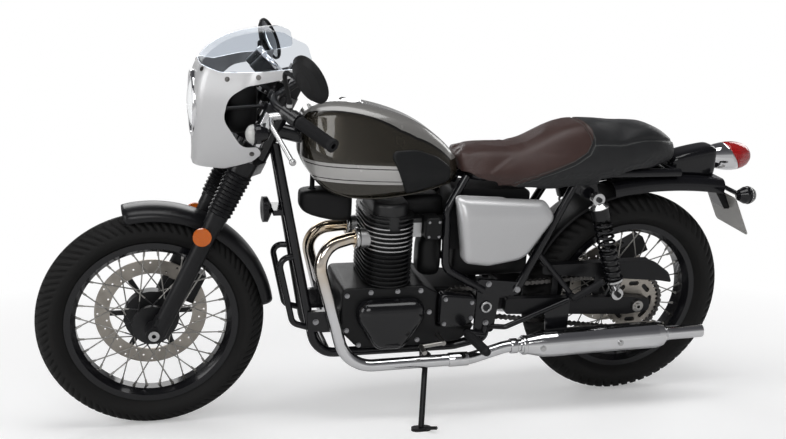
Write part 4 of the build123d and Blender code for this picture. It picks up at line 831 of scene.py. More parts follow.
def tyreMesh(s):
    profile = tyreProfile(s)
    columns = []
    for pitch in range(s["pitches"]):
        for step, sunk in zip(tyreRows["steps"], tyreRows["sunk"]):
            columns.append(((pitch + step) / s["pitches"], sunk))
    verts, groove, across = [], [], []
    for turnShare, sunk in columns:
        for radius, y, share in profile:
            lean = min(abs(share), 1.0)
            angle = 2 * math.pi * turnShare + s["slant"] * lean ** 1.4
            verts.append((radius * math.cos(angle), y, radius * math.sin(angle)))
            groove.append(float(sunk))
            across.append(share)
    count = len(profile)
    faces = []
    for c in range(len(columns)):
        here, there = c * count, ((c + 1) % len(columns)) * count
        for r in range(count):
            after = (r + 1) % count
            faces.append((here + r, there + r, there + after, here + after))
    mesh = bpy.data.meshes.new("carcass")
    mesh.from_pydata(verts, [], faces)
    for name, values in (("groove", groove), ("across", across)):
        mesh.attributes.new(name, "FLOAT", "POINT").data.foreach_set("value", values)
    shape = bmesh.new()
    shape.from_mesh(mesh)
    bmesh.ops.recalc_face_normals(shape, faces=shape.faces)
    shape.to_mesh(mesh)
    shape.free()
    mesh.transform(s["place"])
    return mesh


for tyreName, s in tyreSettings.items():
    carcass = bpy.data.objects.new("carcass", tyreMesh(s))
    mesh = runTree(carcass, trees["tread"], {
        "Depth": s["depth"], "Inner Edge": s["inner"], "Outer Edge": s["outer"],
        "Material": finishes["tyreRubber"]})
    addPiece(tyreName + "_tread", mesh, s["body"], "tyreRubber", [tyreName])
print("tyres treaded")

# Spoke nipples on both rims, at the CAD spokes' outer ends
nippleSettings = {"perSide": 18, "sweepDeg": 45, "tip": 0.2085, "offset": 0.006, "radius": 0.0032,
                  "length": 0.013, "rootRadius": {"front": (0.051, 0.072), "rear": (0.06, 0.06)},
                  "rootY": {"front": (0.041, -0.032), "rear": (0.042, -0.042)}, "cross": 0.005,
                  "sunk": 0.004, "edges": 8, "collar": 1.35, "collarTall": 0.005}


def nippleSpots(end, place):
    s = nippleSettings
    spots = []
    step = 2 * math.pi / s["perSide"]
    for side, rootRadius, rootY, turn in zip((1, -1), s["rootRadius"][end], s["rootY"][end], (0, step)):
        for k in range(s["perSide"]):
            leading = 1 if k % 2 == 0 else -1
            hubAngle = step * k + turn
            rimAngle = hubAngle + leading * math.radians(s["sweepDeg"])
            root = Vector((rootRadius * math.cos(hubAngle), rootY + leading * s["cross"],
                           rootRadius * math.sin(hubAngle)))
            tip = Vector((s["tip"] * math.cos(rimAngle), side * s["offset"], s["tip"] * math.sin(rimAngle)))
            way = (root - tip).normalized()
            spots.append((place @ (tip - way * s["sunk"]), place.to_3x3() @ way))
    return spots


for end, place in (("front", frontWheelFrame), ("rear", rearWheelFrame)):
    s = nippleSettings
    mesh = runTree(pointCloud(nippleSpots(end, place)), trees["fastener"], {
        "Head Radius": s["radius"], "Head Height": s["length"], "Sides": s["edges"],
        "Washer Radius": s["radius"] * s["collar"], "Washer Height": s["collarTall"],
        "Material": finishes["steel"]})
    addPiece(end + "_nipples", mesh, end + "_wheel", "steel", smooth=False)
print("nipples set")

# Chain: a loop round both chain wheels, sizes in metres
chainSettings = {"pitch": 0.015875, "rearTeeth": 37, "frontTeeth": 15, "gearbox": (-0.150, 0.365), "y": 0.084,
                 "plate": 0.0068, "thick": 0.0018, "inner": 0.0048, "outer": 0.007, "steps": 40}


def chainLoop():
    s = chainSettings
    rear = Vector((-wheelbase / 2, rearHub.z / upAxis.z))
    front = Vector(s["gearbox"])
    big, small = (s["pitch"] / 2 / math.sin(math.pi / teeth) for teeth in (s["rearTeeth"], s["frontTeeth"]))
    span = front - rear
    slope = math.atan2(span.y, span.x)
    lift = math.acos((big - small) / span.length)
    points = []
    for centre, radius, start, sweep in ((rear, big, slope + lift, 2 * (math.pi - lift)),
                                         (front, small, slope - lift, 2 * lift)):
        for k in range(s["steps"] + 1):
            angle = start + sweep * k / s["steps"]
            points.append((centre.x + radius * math.cos(angle), s["y"], centre.y + radius * math.sin(angle)))
    runs = [(Vector(a) - Vector(b)).length for a, b in zip(points, points[1:] + points[:1])]
    links = 2 * round(sum(runs) / s["pitch"] / 2)
    return points, links


chainPoints, chainLinks = chainLoop()
mesh = runTree(lineCarrier(chainPoints, True), trees["link"], {
    "Links": chainLinks, "Pitch": chainSettings["pitch"], "Plate": chainSettings["plate"],
    "Thick": chainSettings["thick"], "Inner Gap": chainSettings["inner"], "Outer Gap": chainSettings["outer"],
    "Material": finishes["darkSteel"]})
mesh.transform(bikeFrame)
addPiece("chain_links", mesh, "chassis", "darkSteel", ["chain"], smooth=False)
print("chain laid:", chainLinks, "links")

# Shock springs
springSettings = {"foot": (-653, 381), "top": (-552, 686), "y": 130, "low": 0.0545, "headroom": 0.0625,
                  "turns": 10.0, "radius": 0.0245, "wire": 0.0038}


def shockFrame(side):
    s = springSettings
    foot = onBike(s["foot"][0], side * s["y"], s["foot"][1])
    top = onBike(s["top"][0], side * s["y"], s["top"][1])
    return facingFrame(foot, top - foot), (top - foot).length


coils = []
for side in (1, -1):
    s = springSettings
    place, reach = shockFrame(side)
    height = reach - s["headroom"] - s["low"] - 2 * s["wire"]
    bare = bpy.data.objects.new("coil", bpy.data.meshes.new("coil"))
    coil = runTree(bare, trees["coil"], {
        "Turns": s["turns"], "Radius": s["radius"], "Height": height, "Wire": s["wire"],
        "Material": finishes["glossBlack"]})
    coil.transform(place @ Matrix.Translation((0, 0, s["low"] + s["wire"])))
    coils.append(coil)
addPiece("shock_coils", joined(coils), "chassis", "glossBlack", ["shock_springs"])
print("springs wound")

# Fasteners found by looking at a node from one side: (x, z) in millimetres on the bike
fastenerSettings = {
    "fairing_screws": {"node": "fairing", "body": "steering",
                       "at": ((474, 842), (597, 1053), (537, 1036), (461, 1047), (389, 1057)),
                       "sides": (1, -1), "head": 0.0042, "tall": 0.002, "edges": 14, "washer": 0.0068,
                       "flat": 0.0012, "finish": "darkSteel", "slot": "steel"},
    "cover_screws": {"node": "crankcase", "body": "chassis",
                     "at": ((190, 408), (188, 300), (120, 415), (40, 415), (-30, 414), (-60, 345), (-28, 258),
                            (60, 247), (150, 252)),
                     "sides": (1, -1), "head": 0.006, "tall": 0.005, "edges": 12, "washer": 0.0075,
                     "flat": 0.0012, "finish": "boltSteel", "slot": "steel"},
    "drive_cover_screws": {"node": "engine_covers", "body": "chassis",
                           "at": ((-100, 392), (-182, 378), (-182, 330), (-100, 315)),
                           "sides": (1,), "head": 0.005, "tall": 0.004, "edges": 12, "washer": 0.0065,
                           "flat": 0.001, "finish": "boltSteel", "slot": "steel"},
    "clutch_cover_screws": {"node": "engine_covers", "body": "chassis",
                            "at": ((118, 372), (20, 384), (-70, 390), (-140, 360), (-148, 305), (-80, 266),
                                   (20, 258), (110, 260), (138, 315)),
                            "sides": (-1,), "head": 0.005, "tall": 0.004, "edges": 12, "washer": 0.0065,
                            "flat": 0.001, "finish": "boltSteel", "slot": "steel"},
    "silencer_screws": {"node": "silencers", "body": "chassis", "at": ((-392, 250), (-640, 256)),
                        "sides": (1, -1), "head": 0.006, "tall": 0.004, "edges": 12, "washer": 0.0095,
                        "flat": 0.0015, "finish": "brightAlloy", "slot": "chrome"},
    "frame_bolts": {"node": "frame", "body": "chassis",
                    "at": ((225, 325), (276, 325), (-330, 405), (-240, 300), (-240, 424)),
                    "sides": (1, -1), "head": 0.0065, "tall": 0.006, "edges": 6, "washer": 0.009,
                    "flat": 0.0015, "finish": "boltSteel", "slot": "steel"},
    "caliper_bolts": {"node": "front_caliper", "body": "steering", "at": ((606, 420), (631, 370)),
                      "sides": (-1,), "head": 0.007, "tall": 0.005, "edges": 6, "washer": 0.009,
                      "flat": 0.0015, "finish": "boltSteel", "slot": "steel"},
    "throttle_cap_screws": {"node": "throttle_bodies", "body": "chassis",
                            "at": ((-44, 622), (-74, 578), (-44, 578), (-74, 622)),
                            "sides": (1, -1), "head": 0.003, "tall": 0.002, "edges": 12, "washer": 0.004,
                            "flat": 0.0008, "finish": "boltSteel", "slot": "steel"},
}


def lookedAt(surface, x, z, side):
    start = onBike(x, side * 600, z)
    place, normal = surface.ray_cast(start, alongBike(0, -side, 0))[:2]
    return None if place is None else (place, normal)


for pieceName, s in fastenerSettings.items():
    surface = nodeSurface(s["node"])
    spots = []
    for side in s["sides"]:
        for x, z in s["at"]:
            spot = lookedAt(surface, x, z, side)
            if spot:
                spots.append(spot)
    mesh = runTree(pointCloud(spots), trees["fastener"], {
        "Head Radius": s["head"], "Head Height": s["tall"], "Sides": s["edges"], "Washer Radius": s["washer"],
        "Washer Height": s["flat"], "Material": finishes[s["finish"]]})
    addPiece(pieceName, mesh, s["body"], s["finish"], smooth=False)
    print(pieceName, len(spots))

# Disc bolts: a ring round each axle, on the right of the wheel
discBoltSettings = {"front": (0.053, -0.0605, 6), "rear": (0.034, -0.0845, 5)}
for end, (radius, face, count) in discBoltSettings.items():
    place = frontWheelFrame if end == "front" else rearWheelFrame
    spots = []
    for k in range(count):
        angle = 2 * math.pi * (k + 0.5) / count
        spots.append((place @ Vector((radius * math.cos(angle), face, radius * math.sin(angle))), -leftAxis))
    mesh = runTree(pointCloud(spots), trees["fastener"], {
        "Head Radius": 0.0062, "Head Height": 0.0045, "Sides": 6, "Washer Radius": 0.0085,
        "Washer Height": 0.0012, "Material": finishes["boltSteel"]})
    addPiece(end + "_disc_bolts", mesh, end + "_wheel", "boltSteel", smooth=False)
print("fasteners set")

# Ribbed rubber on the grips and the rider's pegs
ribSettings = {
    "grip_ribs": {"body": "steering", "line": ((296, 345, 908), (431, 156, 985)), "from": 0.06, "to": 0.49,
                  "count": 30, "radius": 0.0161, "rib": 0.0009},
    "peg_ribs": {"body": "chassis", "line": ((-172, 152, 284), (-192, 262, 276)), "from": 0.16, "to": 0.94,
                 "count": 14, "radius": 0.0132, "rib": 0.0014},
}
for pieceName, s in ribSettings.items():
    rings = []
    for side in (1, -1):
        first, last = (onBike(x, side * y, z) for x, y, z in s["line"])
        ends = [first.lerp(last, s["from"]), first.lerp(last, s["to"])]
        rings.append(runTree(lineCarrier(ends), trees["rib"], {
            "Count": s["count"], "Radius": s["radius"], "Rib": s["rib"],
            "Material": finishes["gripRubber"]}))
    addPiece(pieceName, joined(rings), s["body"], "gripRubber")
print("ribs moulded")

# Instruments: bezel, dial, marks and needle on each cup
gaugeSettings = {"base": (40, 0, 752.3), "rise": (32, 0, 56), "face": (-0.72, 0, 0.69), "apart": 0.046,
                 "top": 0.026, "cup": 0.041, "marks": 22, "sweepDeg": 270}


def gaugeFrames():
    s = gaugeSettings
    shelf = forkFrame @ (Vector(s["base"]) * mm) + alongBike(*s["rise"]) * mm
    up = alongBike(*s["face"]).normalized()
    back = leftAxis.cross(up)
    base = axesFrame(shelf, leftAxis, -back, up)
    return [base @ Matrix.Translation((side * s["apart"], 0, s["top"])) for side in (1, -1)]


dialFrames = gaugeFrames()
cup = gaugeSettings["cup"]
bezel = [(cup - 0.006, 0.0002), (cup - 0.005, 0.004), (cup - 0.001, 0.0055), (cup + 0.0012, 0.003),
         (cup + 0.0014, -0.009), (cup + 0.0004, -0.009), (cup + 0.0004, 0.0002)]
addPiece("gauge_bezels", turnedAt(dialFrames, bezel, 48, True), "steering", "chrome")
dial = [(0, 0.0003), (cup - 0.005, 0.0003), (cup - 0.005, 0.0001), (0, 0.0001)]
addPiece("gauge_dials", turnedAt(dialFrames, dial, 48), "steering", "dialBlack",
         smooth=False)
pane = [(0, 0.0042), (cup - 0.0055, 0.0036), (cup - 0.0055, 0.0031), (0, 0.0037)]
addPiece("gauge_glass", turnedAt(dialFrames, pane, 48), "steering", "lampGlass")


def dialMarks():
    s = gaugeSettings
    marks = []
    for place in dialFrames:
        for k in range(s["marks"]):
            angle = math.radians(s["sweepDeg"] * (k / (s["marks"] - 1) - 0.5) + 90)
            for share in (0.70, 0.745, 0.79) if k % 3 == 0 else (0.79,):
                spot = Vector((math.cos(angle), math.sin(angle), 0)) * cup * share
                marks.append((place @ (spot + Vector((0, 0, 0.0002))), place.to_3x3() @ Vector((0, 0, 1))))
    return marks


mesh = runTree(pointCloud(dialMarks()), trees["fastener"], {
    "Head Radius": 0.0009, "Head Height": 0.0005, "Sides": 8, "Washer Radius": 0.0007,
    "Washer Height": 0.0002, "Material": finishes["dialWhite"]})
addPiece("gauge_marks", mesh, "steering", "dialWhite", smooth=False)


def needleMesh(place):
    shape = bmesh.new()
    tip = [(-0.001, -0.008), (0.001, -0.008), (0.0004, 0.027), (-0.0004, 0.027)]
    low = [shape.verts.new((x, y, 0.0012)) for x, y in tip]
    high = [shape.verts.new((x, y, 0.002)) for x, y in tip]
    shape.faces.new(low[::-1])
    shape.faces.new(high)
    for k in range(4):
        after = (k + 1) % 4
        shape.faces.new([low[k], low[after], high[after], high[k]])
    mesh = meshFrom(shape, "needle")
    mesh.transform(place @ Matrix.Rotation(math.radians(135), 4, "Z"))
    return mesh


needleBoss = [(0, 0.003), (0.004, 0.0026), (0.0045, 0.0006), (0, 0.0006)]
needles = [needleMesh(place) for place in dialFrames] + [turnedAt(dialFrames, needleBoss, 20)]
addPiece("gauge_needles", joined(needles), "steering", "needleRed", smooth=False)
print("instruments fitted")

# Mirror glass, slightly domed, on the CAD heads
mirrorSettings = {"centre": (362, 340, 1072), "face": (-0.83, -0.37, 0.40), "lift": 0.0078, "radius": 0.0605}


def mirrorFrame(side):
    x, y, z = mirrorSettings["centre"]
    fx, fy, fz = mirrorSettings["face"]
    return facingFrame(onBike(x, side * y, z), alongBike(fx, side * fy, fz))


lift, wide = mirrorSettings["lift"], mirrorSettings["radius"]
glass = [(0, lift + 0.0016), (wide * 0.5, lift + 0.0013), (wide, lift + 0.0006), (wide, lift - 0.001),
         (0, lift - 0.001)]
mirrorFrames = [mirrorFrame(1), mirrorFrame(-1)]
addPiece("mirror_glass", turnedAt(mirrorFrames, glass, 56), "steering", "mirrorGlass")
rim = [(wide, lift - 0.001), (wide, lift + 0.002), (wide + 0.0022, lift + 0.0024), (wide + 0.0042, lift),
       (wide + 0.0042, lift - 0.006), (wide + 0.0034, lift - 0.006)]
addPiece("mirror_rims", turnedAt(mirrorFrames, rim, 56, True), "steering", "mouldedBlack")
print("mirrors glazed")

# Headlamp: reflector, bulb shield and rim behind the lens, on the lamp's axis, in metres from its front
lampSettings = {"front": 612, "height": 948, "radius": 0.086}
lampFrame = facingFrame(onBike(lampSettings["front"], 0, lampSettings["height"]), alongBike(1, 0, 0))
lampRadius = lampSettings["radius"]
reflector = [(0.012, -0.068), (0.03, -0.062), (0.05, -0.046), (0.067, -0.026), (0.0775, -0.009),
             (0.0785, -0.0085), (0.0685, -0.0275), (0.051, -0.048), (0.03, -0.064), (0.012, -0.07)]
addPiece("lamp_reflector", turnedAt([lampFrame], reflector, 64, True), "steering", "chrome")
shield = [(0, -0.02), (0.012, -0.021), (0.0145, -0.026), (0.0145, -0.066), (0, -0.066)]
addPiece("lamp_shield", turnedAt([lampFrame], shield, 32), "steering", "brightAlloy")
lampRim = [(lampRadius - 0.007, 0.004), (lampRadius - 0.005, 0.0095), (lampRadius + 0.001, 0.0105),
           (lampRadius + 0.0038, 0.006), (lampRadius + 0.0038, -0.006), (lampRadius + 0.0031, -0.006),
           (lampRadius + 0.0031, 0.004)]
addPiece("lamp_rim", turnedAt([lampFrame], lampRim, 72, True), "steering", "chrome")

# Turn-signal lenses over the CAD lamps: (x, y, z) of the lens foot in millimetres
signalSettings = {"front": {"leg": (0.043, 0.092), "ahead": 0.0325, "y": 0.1505, "height": 0.894},
                  "rear": (-1052, 142, 690)}
dome = [(0.0, 0.0205), (0.009, 0.0192), (0.0172, 0.0155), (0.0232, 0.0095), (0.0264, 0.002), (0.0264, -0.003),
        (0.0261, -0.003), (0.0261, 0.001), (0.0225, 0.0088), (0.0165, 0.0148), (0.0085, 0.0184),
        (0.0, 0.0196)]
band = [(0.0262, -0.001), (0.0274, -0.001), (0.0278, -0.004), (0.0274, -0.007), (0.0262, -0.007)]


def forkLegX(height):  # where the left fork leg crosses a height, in metres on the bike
    legX, legY = signalSettings["front"]["leg"]
    low, high = (bikeFrame.inverted() @ (forkFrame @ Vector((legX, legY, along))) for along in (0.0, 1.0))
    return low.x + (high.x - low.x) * (height - low.z) / (high.z - low.z)


def signalFrames(nodeName):
    front = signalSettings["front"]
    rearX, rearY, rearZ = signalSettings["rear"]
    if nodeName == "rear_signals":
        return [facingFrame(onBike(rearX, side * rearY, rearZ), -foreAxis) for side in (1, -1)]
    x = forkLegX(front["height"]) + front["ahead"]
    return [facingFrame(bikeFrame @ Vector((x, side * front["y"], front["height"])), foreAxis)
            for side in (1, -1)]


for nodeName, body in (("front_signals", "steering"), ("rear_signals", "chassis")):
    places = signalFrames(nodeName)
    addPiece(nodeName + "_lens", turnedAt(places, dome, 36), body, "lensClear")
    addPiece(nodeName + "_band", turnedAt(places, band, 36, True), body, "glossBlack")
print("lamps fitted")

# Exhaust sleeves and clamps, and bright collars where the pivot bolt and the head's ports show
headerEnd, tailEnd = (-332, 172, 247), (-932, 182, 264)
sleeveSettings = {"sleeve": ((190, 140, 196), (-180, 166, 212), 0.9, 0.0198, 0.03),
                  "clamp": (headerEnd, tailEnd, -0.035, 0.0215, 0.011),
                  "socket": (headerEnd, tailEnd, 0.02, 0.0285, 0.006)}


def ringAt(first, last, share, radius, halfLong, thick=0.0022):
    frames = []
    for side in (1, -1):
        a, b = (onBike(x, side * y, z) for x, y, z in (first, last))
        frames.append(facingFrame(a.lerp(b, share), b - a))
    profile = [(radius - thick, -halfLong), (radius, -halfLong), (radius + 0.0012, -halfLong + 0.002),
               (radius + 0.0012, halfLong - 0.002), (radius, halfLong), (radius - thick, halfLong)]
    return turnedAt(frames, profile, 40, True)


for pieceName, s in sleeveSettings.items():
    addPiece("exhaust_" + pieceName, ringAt(*s), "chassis", "chrome")
pivotFrames = [facingFrame(onBike(-237, side * 112.2, 352), alongBike(0, side, 0)) for side in (1, -1)]
pivotCollar = [(0.0103, 0.0), (0.0103, 0.0075), (0.0165, 0.0075), (0.0185, 0.005), (0.0185, 0.0)]
addPiece("pivot_collars", turnedAt(pivotFrames, pivotCollar, 36, True), "chassis", "brightAlloy")
portFrames = [facingFrame(onBike(150.5, side * 64, 565), alongBike(1, 0, 0)) for side in (1, -1)]
portRing = [(0.0262, 0.0), (0.0262, 0.013), (0.0285, 0.0135), (0.0325, 0.01), (0.0325, 0.0)]
addPiece("port_flanges", turnedAt(portFrames, portRing, 40, True), "chassis", "brightAlloy")
print("sleeves fitted")

# Engine castings: the CAD blocks with their edges rounded as a foundry leaves them
castingSettings = {
    "crankcase_casting": {"node": "crankcase", "finish": "castBlack", "voxel": 0.0035, "ease": 10},
    "engine_cover_castings": {"node": "engine_covers", "finish": "coverBlack", "voxel": 0.003, "ease": 26},
}
domeSettings = {"from": -45, "base": 109, "reach": 46, "rim": 0.42, "wall": 0.4}


def domed(mesh):  # rolls the left cover's flat face off towards its rim, in millimetres on the bike
    s = domeSettings
    toBike = bikeFrame.inverted()
    spots = [toBike @ vert.co / mm for vert in mesh.vertices]
    raised = [k for k, spot in enumerate(spots) if spot.y > s["base"] and spot.x > s["from"]]
    walls = [spots[k] for k in raised if abs(mesh.vertices[k].normal.dot(leftAxis)) < s["wall"]]
    rim = KDTree(len(walls))
    for k, spot in enumerate(walls):
        rim.insert((spot.x, 0, spot.z), k)
    rim.balance()
    for k in raised:
        spot = spots[k]
        inward = min(rim.find((spot.x, 0, spot.z))[2] / s["reach"], 1)
        share = s["rim"] + (1 - s["rim"]) * math.sqrt(1 - (1 - inward) ** 2)
        mesh.vertices[k].co = onBike(spot.x, s["base"] + (spot.y - s["base"]) * share, spot.z)


for pieceName, s in castingSettings.items():
    casting = linked(pieceName, weldedNode(s["node"], pieceName))
    evened(casting, s["voxel"], s["ease"])
    if s["node"] == "engine_covers":
        domed(casting.data)
    finishPiece(casting, "chassis", s["finish"], [s["node"]])
print("castings rounded")

# Side covers: crowned panels on the CAD covers' line, whose upper band leans in (millimetres)
panelSettings = {
    "corners": ((-118, 696, 12), (-398, 678, 26), (-424, 632, 24), (-338, 506, 70), (-225, 488, 60),
                (-150, 498, 24)),
    "back": 100, "face": 149.5, "roll": 22, "crown": 4, "crease": 640, "soft": 12, "lean": 0.5, "wall": 0.003,
    "middleReach": 112, "longest": 7, "bosses": (-190, -330), "bossHeight": 600, "bossFrom": 60.5,
}


def roundedLine(corners, longest, steps=8):  # (x, z, radius) corners as one closed line of close points
    line = []
    for k, (x, z, radius) in enumerate(corners):
        here = Vector((x, z))
        back = (Vector(corners[k - 1][:2]) - here).normalized()
        ahead = (Vector(corners[(k + 1) % len(corners)][:2]) - here).normalized()
        half = back.angle(ahead) / 2
        reach = radius / math.tan(half)
        middle = here + (back + ahead).normalized() * radius / math.sin(half)
        first, last = here + back * reach - middle, here + ahead * reach - middle
        line += [middle + first.lerp(last, step / steps).normalized() * radius for step in range(steps + 1)]
    close = []
    for first, last in zip(line, line[1:] + line[:1]):
        parts = max(1, math.ceil((last - first).length / longest))
        close += [first.lerp(last, k / parts) for k in range(parts)]
    return close


def ringsToMesh(rings, name):  # closed rings of points skinned in order; a ring of one point closes an end
    shape = bmesh.new()
    made = [[shape.verts.new(point) for point in ring] for ring in rings]
    for low, high in zip(made, made[1:]):
        count = max(len(low), len(high))
        for k in range(count):
            after = (k + 1) % count
            corners = [low[k % len(low)], low[after % len(low)], high[after % len(high)], high[k % len(high)]]
            shape.faces.new(list(dict.fromkeys(corners)))
    bmesh.ops.recalc_face_normals(shape, faces=shape.faces)
    return meshFrom(shape, name)


def sidePanel(side):
    s = panelSettings
    line = roundedLine(s["corners"], s["longest"])
    centre = sum(line, Vector((0, 0))) / len(line)
    steps = [(1.0, s["roll"])]
    for k in range(1, 9):
        angle = math.pi / 2 * k / 8
        inset = s["roll"] * (1 - math.cos(angle)) / s["middleReach"]
        steps.append((1 - inset, s["roll"] * (1 - math.sin(angle))))
    steps += [(share, 0.0) for share in (0.72, 0.6, 0.48, 0.36, 0.24, 0.12)]
    rings = [[onBike(point.x, side * s["back"], point.y) for point in line]]
    for share, drop in steps:
        ring = []
        for point in line:
            spot = centre.lerp(point, share)
            above = spot.y - s["crease"]
            lean = s["lean"] * (math.hypot(above, s["soft"]) + above) / 2
            depth = s["face"] - lean - drop - s["crown"] * share ** 2
            ring.append(onBike(spot.x, side * depth, spot.y))
        rings.append(ring)
    rings.append([onBike(centre.x, side * s["face"], centre.y)])
    mesh = ringsToMesh(rings, "panel")
    if mesh.polygons[-1].normal.dot(leftAxis) * side < 0:
        mesh.flip_normals()
    return mesh


panel = linked("side_cover_panels", joined([sidePanel(1), sidePanel(-1)]))
walled(panel, panelSettings["wall"])
bossFrames = []
for side in (1, -1):
    for x in panelSettings["bosses"]:
        bossFrames.append(facingFrame(onBike(x, side * panelSettings["bossFrom"],
                                             panelSettings["bossHeight"]), leftAxis * side))
boss = [(0.0, 0.0), (0.012, 0.0), (0.009, 0.012), (0.009, 0.084), (0.0, 0.084)]
panel.data = joined([panel.data, turnedAt(bossFrames, boss, 24)])
finishPiece(panel, "chassis", "coverSilver", ["side_covers"])
print("side covers crowned")

# Knee pads: rolled-edge rubber laid on the tank's own surface, (x, z, corner radius) in millimetres
padSettings = {
    "corners": ((86, 834, 15), (6, 835, 90), (-58, 812, 60), (-104, 778, 26), (-98, 736, 22), (30, 707, 14)),
    "thick": 0.0065,
    "rows": ((1.0, -0.35), (1.0, 0.3), (0.985, 0.7), (0.96, 0.92), (0.92, 1.0), (0.86, 0.94), (0.8, 0.9),
             (0.6, 0.95), (0.4, 0.98), (0.2, 1.0)), "longest": 6,
}
tankSurface = nodeSurface("fuel_tank")


def onTank(x, z, side, lift):
    spot = lookedAt(tankSurface, x, z, side)
    if spot is None:
        near = tankSurface.find_nearest(onBike(x, side * 90, z))
        spot = near[0], near[1]
    place, normal = spot
    if normal.dot(leftAxis) * side < 0:
        normal = -normal
    return place + (normal + leftAxis * side).normalized() * lift


def padMesh(side):
    s = padSettings
    line = roundedLine(s["corners"], s["longest"])
    centre = sum(line, Vector((0, 0))) / len(line)
    rings = []
    for share, rise in s["rows"]:
        spots = [centre.lerp(point, share) for point in line]
        rings.append([onTank(spot.x, spot.y, side, s["thick"] * rise) for spot in spots])
    rings.append([onTank(centre.x, centre.y, side, s["thick"])])
    mesh = ringsToMesh(rings, "pad")
    if mesh.polygons[-1].normal.dot(leftAxis) * side < 0:
        mesh.flip_normals()
    return mesh


addPiece("knee_pad_rubbers", joined([padMesh(1), padMesh(-1)]), "chassis", "padRubber",
         ["knee_pads"])
print("knee pads laid")

# Front fender: a crowned blade round the wheel, with the lugs that reach the fork legs (metres, degrees)
fenderSettings = {"foot": 0.311, "rise": 0.036, "half": 0.062, "frontDeg": 77, "rearDeg": 171, "square": 2.6,
                  "across": 28, "along": 64,
                  "wall": 0.0025, "taperDeg": 5, "lugX": 0.022, "lugZ": 0.02, "legAlong": 0.306,
                  "leg": (0.043, 0.092), "slider": 0.0275}


def fenderBlade(s, wheelFrame):
    verts, faces = [], []
    for k in range(s["along"] + 1):
        share = k / s["along"]
        degrees = s["frontDeg"] + (s["rearDeg"] - s["frontDeg"]) * share
        inward = min(degrees - s["frontDeg"], s["rearDeg"] - degrees) / s["taperDeg"]
        narrow = 1.0 if inward > 1 else 0.86 + 0.14 * math.sqrt(1 - (1 - inward) ** 2)
        angle = math.radians(degrees)
        for n in range(s["across"] + 1):
            turn = math.pi * n / s["across"]
            y = math.copysign(abs(math.cos(turn)) ** (2 / s["square"]), math.cos(turn)) * s["half"] * narrow
            radius = s["foot"] + s["rise"] * abs(math.sin(turn)) ** (2 / s["square"])
            verts.append(wheelFrame @ Vector((radius * math.cos(angle), y, radius * math.sin(angle))))
    row = s["across"] + 1
    for k in range(s["along"]):
        for n in range(s["across"]):
            faces.append((k * row + n, k * row + n + 1, (k + 1) * row + n + 1, (k + 1) * row + n))
    mesh = bpy.data.meshes.new("blade")
    mesh.from_pydata(verts, [], faces)
    middle = mesh.polygons[len(mesh.polygons) // 2 + s["across"] // 2]
    if middle.normal.dot(middle.center - wheelFrame.translation) < 0:
        mesh.flip_normals()
    return mesh


def fenderLug(side):
    s = fenderSettings
    legX, legY = s["leg"]
    leg = bikeFrame.inverted() @ (forkFrame @ Vector((legX, legY, s["legAlong"])))
    rows = []
    for y, grown in ((s["half"] - 0.004, 0.8), (s["half"] - 0.002, 1.0), (legY - s["slider"] - 0.0025, 1.0),
                     (legY - s["slider"] - 0.0005, 0.85)):
        ring = []
        for k in range(32):
            angle = 2 * math.pi * k / 32
            c, d = math.cos(angle), math.sin(angle)
            reach = (c ** 4 + d ** 4) ** -0.25 * grown
            ring.append(bikeFrame @ Vector((leg.x + s["lugX"] * reach * c, side * y,
                                            leg.z + s["lugZ"] * reach * d)))
        rows.append(ring)
    ends = [[sum(ring, Vector()) / len(ring)] for ring in (rows[0], rows[-1])]
    return ringsToMesh([ends[0]] + rows + [ends[1]], "lug")


fender = linked("front_fender_blade", fenderBlade(fenderSettings, frontWheelFrame))
walled(fender, fenderSettings["wall"])
fender.data = joined([fender.data, fenderLug(1), fenderLug(-1)])
finishPiece(fender, "steering", "satinBlack", ["front_fender"])
print("front fender made")

# Inner fender: a moulded splash guard round the rear wheel, up under the tail
splashSettings = {"foot": 0.347, "rise": 0.012, "half": 0.075, "frontDeg": 24, "rearDeg": 91, "square": 4.0,
                  "across": 24, "along": 48, "wall": 0.0025, "taperDeg": 3}
splash = linked("inner_fender", fenderBlade(splashSettings, rearWheelFrame))
walled(splash, splashSettings["wall"])
finishPiece(splash, "chassis", "mouldedBlack")
print("inner fender made")

